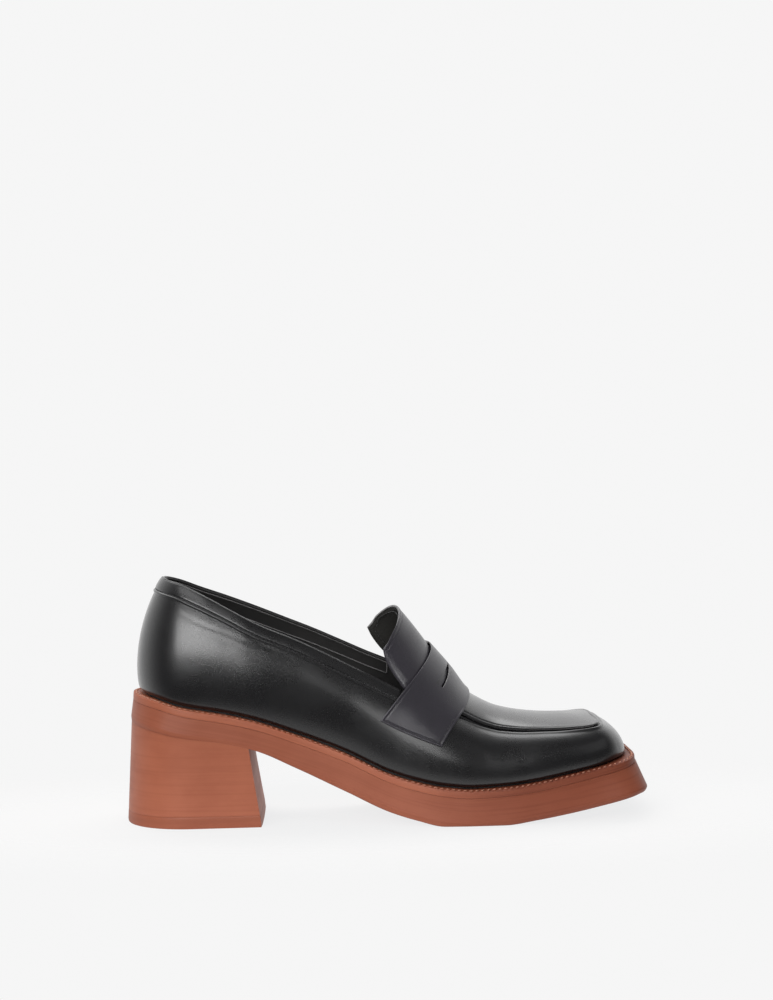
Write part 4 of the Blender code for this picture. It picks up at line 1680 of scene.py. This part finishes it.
@dataclass
class SaddleStrap:
    """The strap over the instep, with its bow-tie slot, raw edges and sewn ends."""

    finishes: Finishes
    hem: Hem = Hem(brink=0.35, drop=0.18, groove_at=1.5, groove_depth=0.22, groove_width=0.4, puff=0.06)
    sewing: Sewing = Sewing(pitch=1.9, length=1.5, width=0.4, sunk=0.0)
    row_from: float = 0.72
    bend: tuple[float, float] = (0.5, 0.97)
    settle: tuple[float, float] = (0.63, 0.99)
    rows: int = 40

    def half_slot(self, w: Array) -> Array:
        """The slot's half width as a share of the strap's: 0 beyond its ends."""
        inside = np.abs(w) <= SLOT_LENGTH + 1e-9
        return np.where(inside, SLOT_HALF_WIDTH + SLOT_FLARE * np.abs(w) / SLOT_LENGTH, 0.0)

    def bridged(self, points: Array, w: Array) -> Array:
        """Carries the strap in one smooth bend over the seam between the forefoot and the wall.

        Args:
            points: The strap's sheet, rows by columns.
            w: The columns' places, from end to end.

        Returns:
            The sheet with its bends.
        """
        made = points.copy()
        for sign in (-1.0, 1.0):
            near, far = (int(np.argmin(np.abs(w - sign * place))) for place in self.bend)
            step = int(sign)
            span = w[far] - w[near]
            start = (points[:, near] - points[:, near - step]) / (w[near] - w[near - step]) * span
            end = (points[:, far + step] - points[:, far]) / (w[far + step] - w[far]) * span
            for k in range(near + step, far, step):
                t = (w[k] - w[near]) / span
                made[:, k] = (
                    points[:, near] * (1 + 2 * t) * (1 - t) ** 2 + start * t * (1 - t) ** 2
                    + points[:, far] * t * t * (3 - 2 * t) - end * t * t * (1 - t)
                )
        return made

    def seat(self, w: Array) -> Array:
        """How far above the wall the strap's underside lies."""
        return mix(STRAP_SEAT, GAP, ramp(np.abs(w), *self.settle))

    def build(self) -> list[bpy.types.Object]:
        """Builds the strap and its stitches.

        Returns:
            The pieces.
        """
        ends = (STRAP_ARCH_SHARE, SLOT_LENGTH, SLOT_LENGTH + 0.004)
        w = np.unique(np.round(np.concatenate((crowd(240, 1.3), ends, [-end for end in ends])), 6))
        grow = ease(np.linspace(0, 1, self.rows))[:, None]
        half = self.half_slot(w)[None, :]
        length = np.linalg.norm(strap(1.0, w) - strap(0.0, w), axis=-1)[None, :]
        middle = travelled(strap(0.5, w))
        to_end = np.minimum(middle, middle[-1] - middle)[None, :]
        base = self.bridged(strap(np.linspace(0, 1, self.rows + 1)[:, None], w[None, :]), w)
        across = normals(base)
        work = Workpiece("saddle_strap_leather")
        halves = ((np.zeros_like(half), SLOT_CENTRE - half), (SLOT_CENTRE + half, np.ones_like(half)))
        for low, high in halves:
            share = mix(low, high, grow)
            inside = np.minimum(np.minimum(share, 1 - share) * length, to_end)
            down = ramp(np.abs(w), STRAP_ARCH_SHARE - 0.08, STRAP_ARCH_SHARE + 0.02)[None, :]
            brink = -self.hem.drop * np.clip(1 - inside / self.hem.brink, 0, 1) ** 2
            relief = mix(brink, self.hem.relief(inside), down)
            lift = self.seat(w)[None, :] + STRAP_THICKNESS + relief
            place = share * self.rows
            floor = np.clip(place.astype(int), 0, self.rows - 1)
            part = (place - floor)[..., None]
            column = np.broadcast_to(np.arange(len(w))[None, :], share.shape)
            flat, up = (
                mix(sheet[floor, column], sheet[floor + 1, column], part) for sheet in (base, across)
            )
            work.lay(flat + up * lift[..., None])
        materials = [self.finishes.strap, self.finishes.tongue_lining, self.finishes.cut_edge]
        skin = work.finish(materials, Slot.STRAP, "saddle_strap", closed=False)
        thicken(skin, STRAP_THICKNESS, -1.0, inner=1, edge=2)

        rows_of_thread = Workpiece("strap_stitches")
        inset = self.hem.groove_at / (STRAP_FRONT_X - STRAP_REAR_X)
        last = 1 - self.hem.groove_at / float(middle[-1] / 2)
        for sign in (-1.0, 1.0):
            out = np.linspace(self.row_from, last, 60)
            rear = np.full_like(out, inset)
            over = np.linspace(inset, 1 - inset, 50)
            share = np.concatenate((rear, over, 1 - rear))
            reach = np.concatenate((out, np.full_like(over, last), out[::-1]))
            path, up = lifted(strap, share, sign * reach, 0.0)
            path = path + up * (self.seat(reach) + STRAP_THICKNESS - 0.12)[:, None]
            rows_of_thread.sew(path, up, self.sewing)
        return [skin, rows_of_thread.finish([self.finishes.black_thread], Slot.STRAP)]


@dataclass(frozen=True)
class SoftBox:
    """A flat white studio light: its place, what it points at, its size and its power."""

    name: str
    place: Colour
    aim: Colour
    size: tuple[float, float]
    power: float

    def build(self) -> bpy.types.Object:
        """Hangs the light.

        Returns:
            The light.
        """
        data = bpy.data.lights.new(self.name, "AREA")
        data.shape = "RECTANGLE"
        data.size, data.size_y = self.size
        data.energy = self.power
        lamp = bpy.data.objects.new(self.name, data)
        lamp.location = self.place
        lamp.rotation_euler = (Vector(self.aim) - Vector(self.place)).to_track_quat("-Z", "Y").to_euler()
        lamp.visible_camera = False
        bpy.context.scene.collection.objects.link(lamp)
        return lamp


@dataclass
class Studio:
    """The pale floor, the seamless backdrop and the soft lights."""

    paper: float = 0.92
    table_glow: Colour = (0.78, 0.797, 0.805)
    table_white: Colour = (0.135, 0.12, 0.113)
    table_fade: tuple[float, float] = (0.15, 0.34)
    table_radius: float = 0.8
    backdrop_radius: float = 6.0
    room_front: float = 0.08
    room_back: float = 0.95
    room_turn: tuple[float, float] = (-0.45, 0.6)
    boxes: tuple[SoftBox, ...] = (
        SoftBox("top_box", (0.0, 0.6, 1.1), (0.0, 0.0, 0.05), (1.4, 0.8), 8.0),
        SoftBox("left_box", (-0.48, -1.19, 0.56), (-0.06, 0.0, 0.09), (1.22, 0.56), 15.5),
        SoftBox("front_box", (-0.35, -0.62, 1.05), (0.0, 0.0, 0.05), (1.0, 0.45), 3.0),
        SoftBox("right_box", (1.1, -0.9, 0.7), (0.05, 0.0, 0.04), (0.8, 0.8), 0.8),
    )

    @staticmethod
    def staged(
        name: str, mesh: bmesh.types.BMesh, recipe: Recipe, surface: bpy.types.NodeSocket
    ) -> bpy.types.Object:
        """Turns a mesh into a part of the stage.

        Args:
            name: The part's name.
            mesh: Its shape.
            recipe: Its material in the making.
            surface: The shader that its surface shows.

        Returns:
            The part.
        """
        data = bpy.data.meshes.new(name)
        mesh.to_mesh(data)
        mesh.free()
        recipe.feed(recipe.output.inputs["Surface"], surface)
        data.materials.append(recipe.material)
        shape = bpy.data.objects.new(name, data)
        bpy.context.scene.collection.objects.link(shape)
        return shape

    def table(self) -> bpy.types.Object:
        """The table top round the shoe, which takes its shadow and fades into the paper.

        Returns:
            The table top.
        """
        mesh = bmesh.new()
        bmesh.ops.create_circle(mesh, cap_ends=True, segments=96, radius=self.table_radius)
        recipe = Recipe("table_paper")
        drawn = recipe.stretched((1.0, 2.0, 1.0))
        away = recipe.node("ShaderNodeVectorMath", {"operation": "LENGTH"}, {0: drawn}).outputs["Value"]
        fade = Shade(recipe, away).between(*self.table_fade)
        glow = recipe.node("ShaderNodeEmission", inputs={"Color": (*self.table_glow, 1.0)})
        white = recipe.node("ShaderNodeBsdfDiffuse", inputs={"Color": (*self.table_white, 1.0)})
        both = recipe.node("ShaderNodeAddShader", inputs={0: glow.outputs[0], 1: white.outputs[0]})
        clear = recipe.node("ShaderNodeBsdfTransparent")
        ended = recipe.node("ShaderNodeMixShader", inputs={0: fade, 1: both.outputs[0], 2: clear.outputs[0]})
        return self.staged("table_top", mesh, recipe, ended.outputs[0])

    def backdrop(self) -> bpy.types.Object:
        """The paper far round the table: it shows behind the shoe and lights nothing.

        Returns:
            The backdrop.
        """
        mesh = bmesh.new()
        bmesh.ops.create_uvsphere(mesh, u_segments=64, v_segments=32, radius=self.backdrop_radius)
        bmesh.ops.reverse_faces(mesh, faces=mesh.faces)
        recipe = Recipe("backdrop_paper")
        glow = recipe.node("ShaderNodeEmission", inputs={"Strength": self.paper})
        paper = self.staged("backdrop", mesh, recipe, glow.outputs[0])
        paper.visible_diffuse = False
        paper.visible_glossy = False
        paper.visible_transmission = False
        paper.visible_shadow = False
        return paper

    def room(self) -> bpy.types.World:
        """The white room that the shoe reflects: dim in front, bright behind.

        Returns:
            The room.
        """
        world = bpy.data.worlds.new("room")
        world.use_nodes = True
        graph = Graph(world.node_tree)
        way = graph.node("ShaderNodeTexCoord").outputs["Generated"]
        parts = graph.node("ShaderNodeSeparateXYZ", inputs={0: way})
        share = Shade(graph, parts.outputs["Y"]).between(*self.room_turn)
        strength = share * (self.room_back - self.room_front) + self.room_front
        inputs = {"Color": (1.0, 1.0, 1.0, 1.0), "Strength": strength}
        glow = graph.node("ShaderNodeBackground", inputs=inputs)
        graph.node("ShaderNodeOutputWorld", inputs={"Surface": glow.outputs[0]})
        return world

    def build(self) -> None:
        """Sets up the studio."""
        self.table()
        self.backdrop()
        for box in self.boxes:
            box.build()
        bpy.context.scene.world = self.room()
        bpy.context.scene.view_settings.view_transform = "Standard"


@dataclass(frozen=True)
class Viewpoint:
    """The camera: where it stands round the shoe, and how it is aimed."""

    azimuth: float = -5.5
    elevation: float = 8.5
    distance: float = 1.6
    target: Colour = (0.0, -0.0033, 0.05)
    tilt_up: float = 217.3
    focal: float = 3108.8
    roll: float = 0.6
    sensor: float = 36.0
    long_side: float = 1000.0
    shift_x: float = 0.0022755

    def build(self) -> bpy.types.Object:
        """Places the camera and makes it the scene's own.

        Returns:
            The camera.
        """
        azimuth, elevation = math.radians(self.azimuth), math.radians(self.elevation)
        flat = math.cos(elevation)
        back = Vector((math.sin(azimuth) * flat, -math.cos(azimuth) * flat, math.sin(elevation)))
        right = (-back).cross(Vector(UP)).normalized()
        up = right.cross(-back)
        tilt = math.atan(self.tilt_up / self.focal)
        forward = -back * math.cos(tilt) + up * math.sin(tilt)
        up = right.cross(forward)
        cosine, sine = math.cos(math.radians(self.roll)), math.sin(math.radians(self.roll))
        axes = (right * cosine - up * sine, up * cosine + right * sine, -forward)
        data = bpy.data.cameras.new("viewpoint")
        data.sensor_fit = "AUTO"
        data.sensor_width = self.sensor
        data.lens = self.focal / self.long_side * self.sensor
        data.shift_x = self.shift_x
        data.clip_start = 0.01
        data.clip_end = 30.0
        camera = bpy.data.objects.new("viewpoint", data)
        place = Vector(self.target) + back * self.distance
        turned = Matrix([[axis[k] for axis in axes] for k in range(3)]).to_4x4()
        camera.matrix_world = Matrix.Translation(place) @ turned
        bpy.context.scene.collection.objects.link(camera)
        bpy.context.scene.camera = camera
        return camera


def main() -> None:
    """Builds the shoe from the ground up, then the studio and the camera."""
    logging.basicConfig(level=logging.INFO, format="%(name)s: %(message)s")
    finishes = Finishes()
    for maker in (TopLift, HeelStack, Outsole, Welt, Footbed, Upper, Collar, Apron, Tongue, SaddleStrap):
        made = maker(finishes).build()
        for piece in made if isinstance(made, list) else [made]:
            LOG.info("%s: %s, %d faces", maker.__name__, piece.name, len(piece.data.polygons))
    Studio().build()
    Viewpoint().build()


if __name__ == "__main__":
    main()
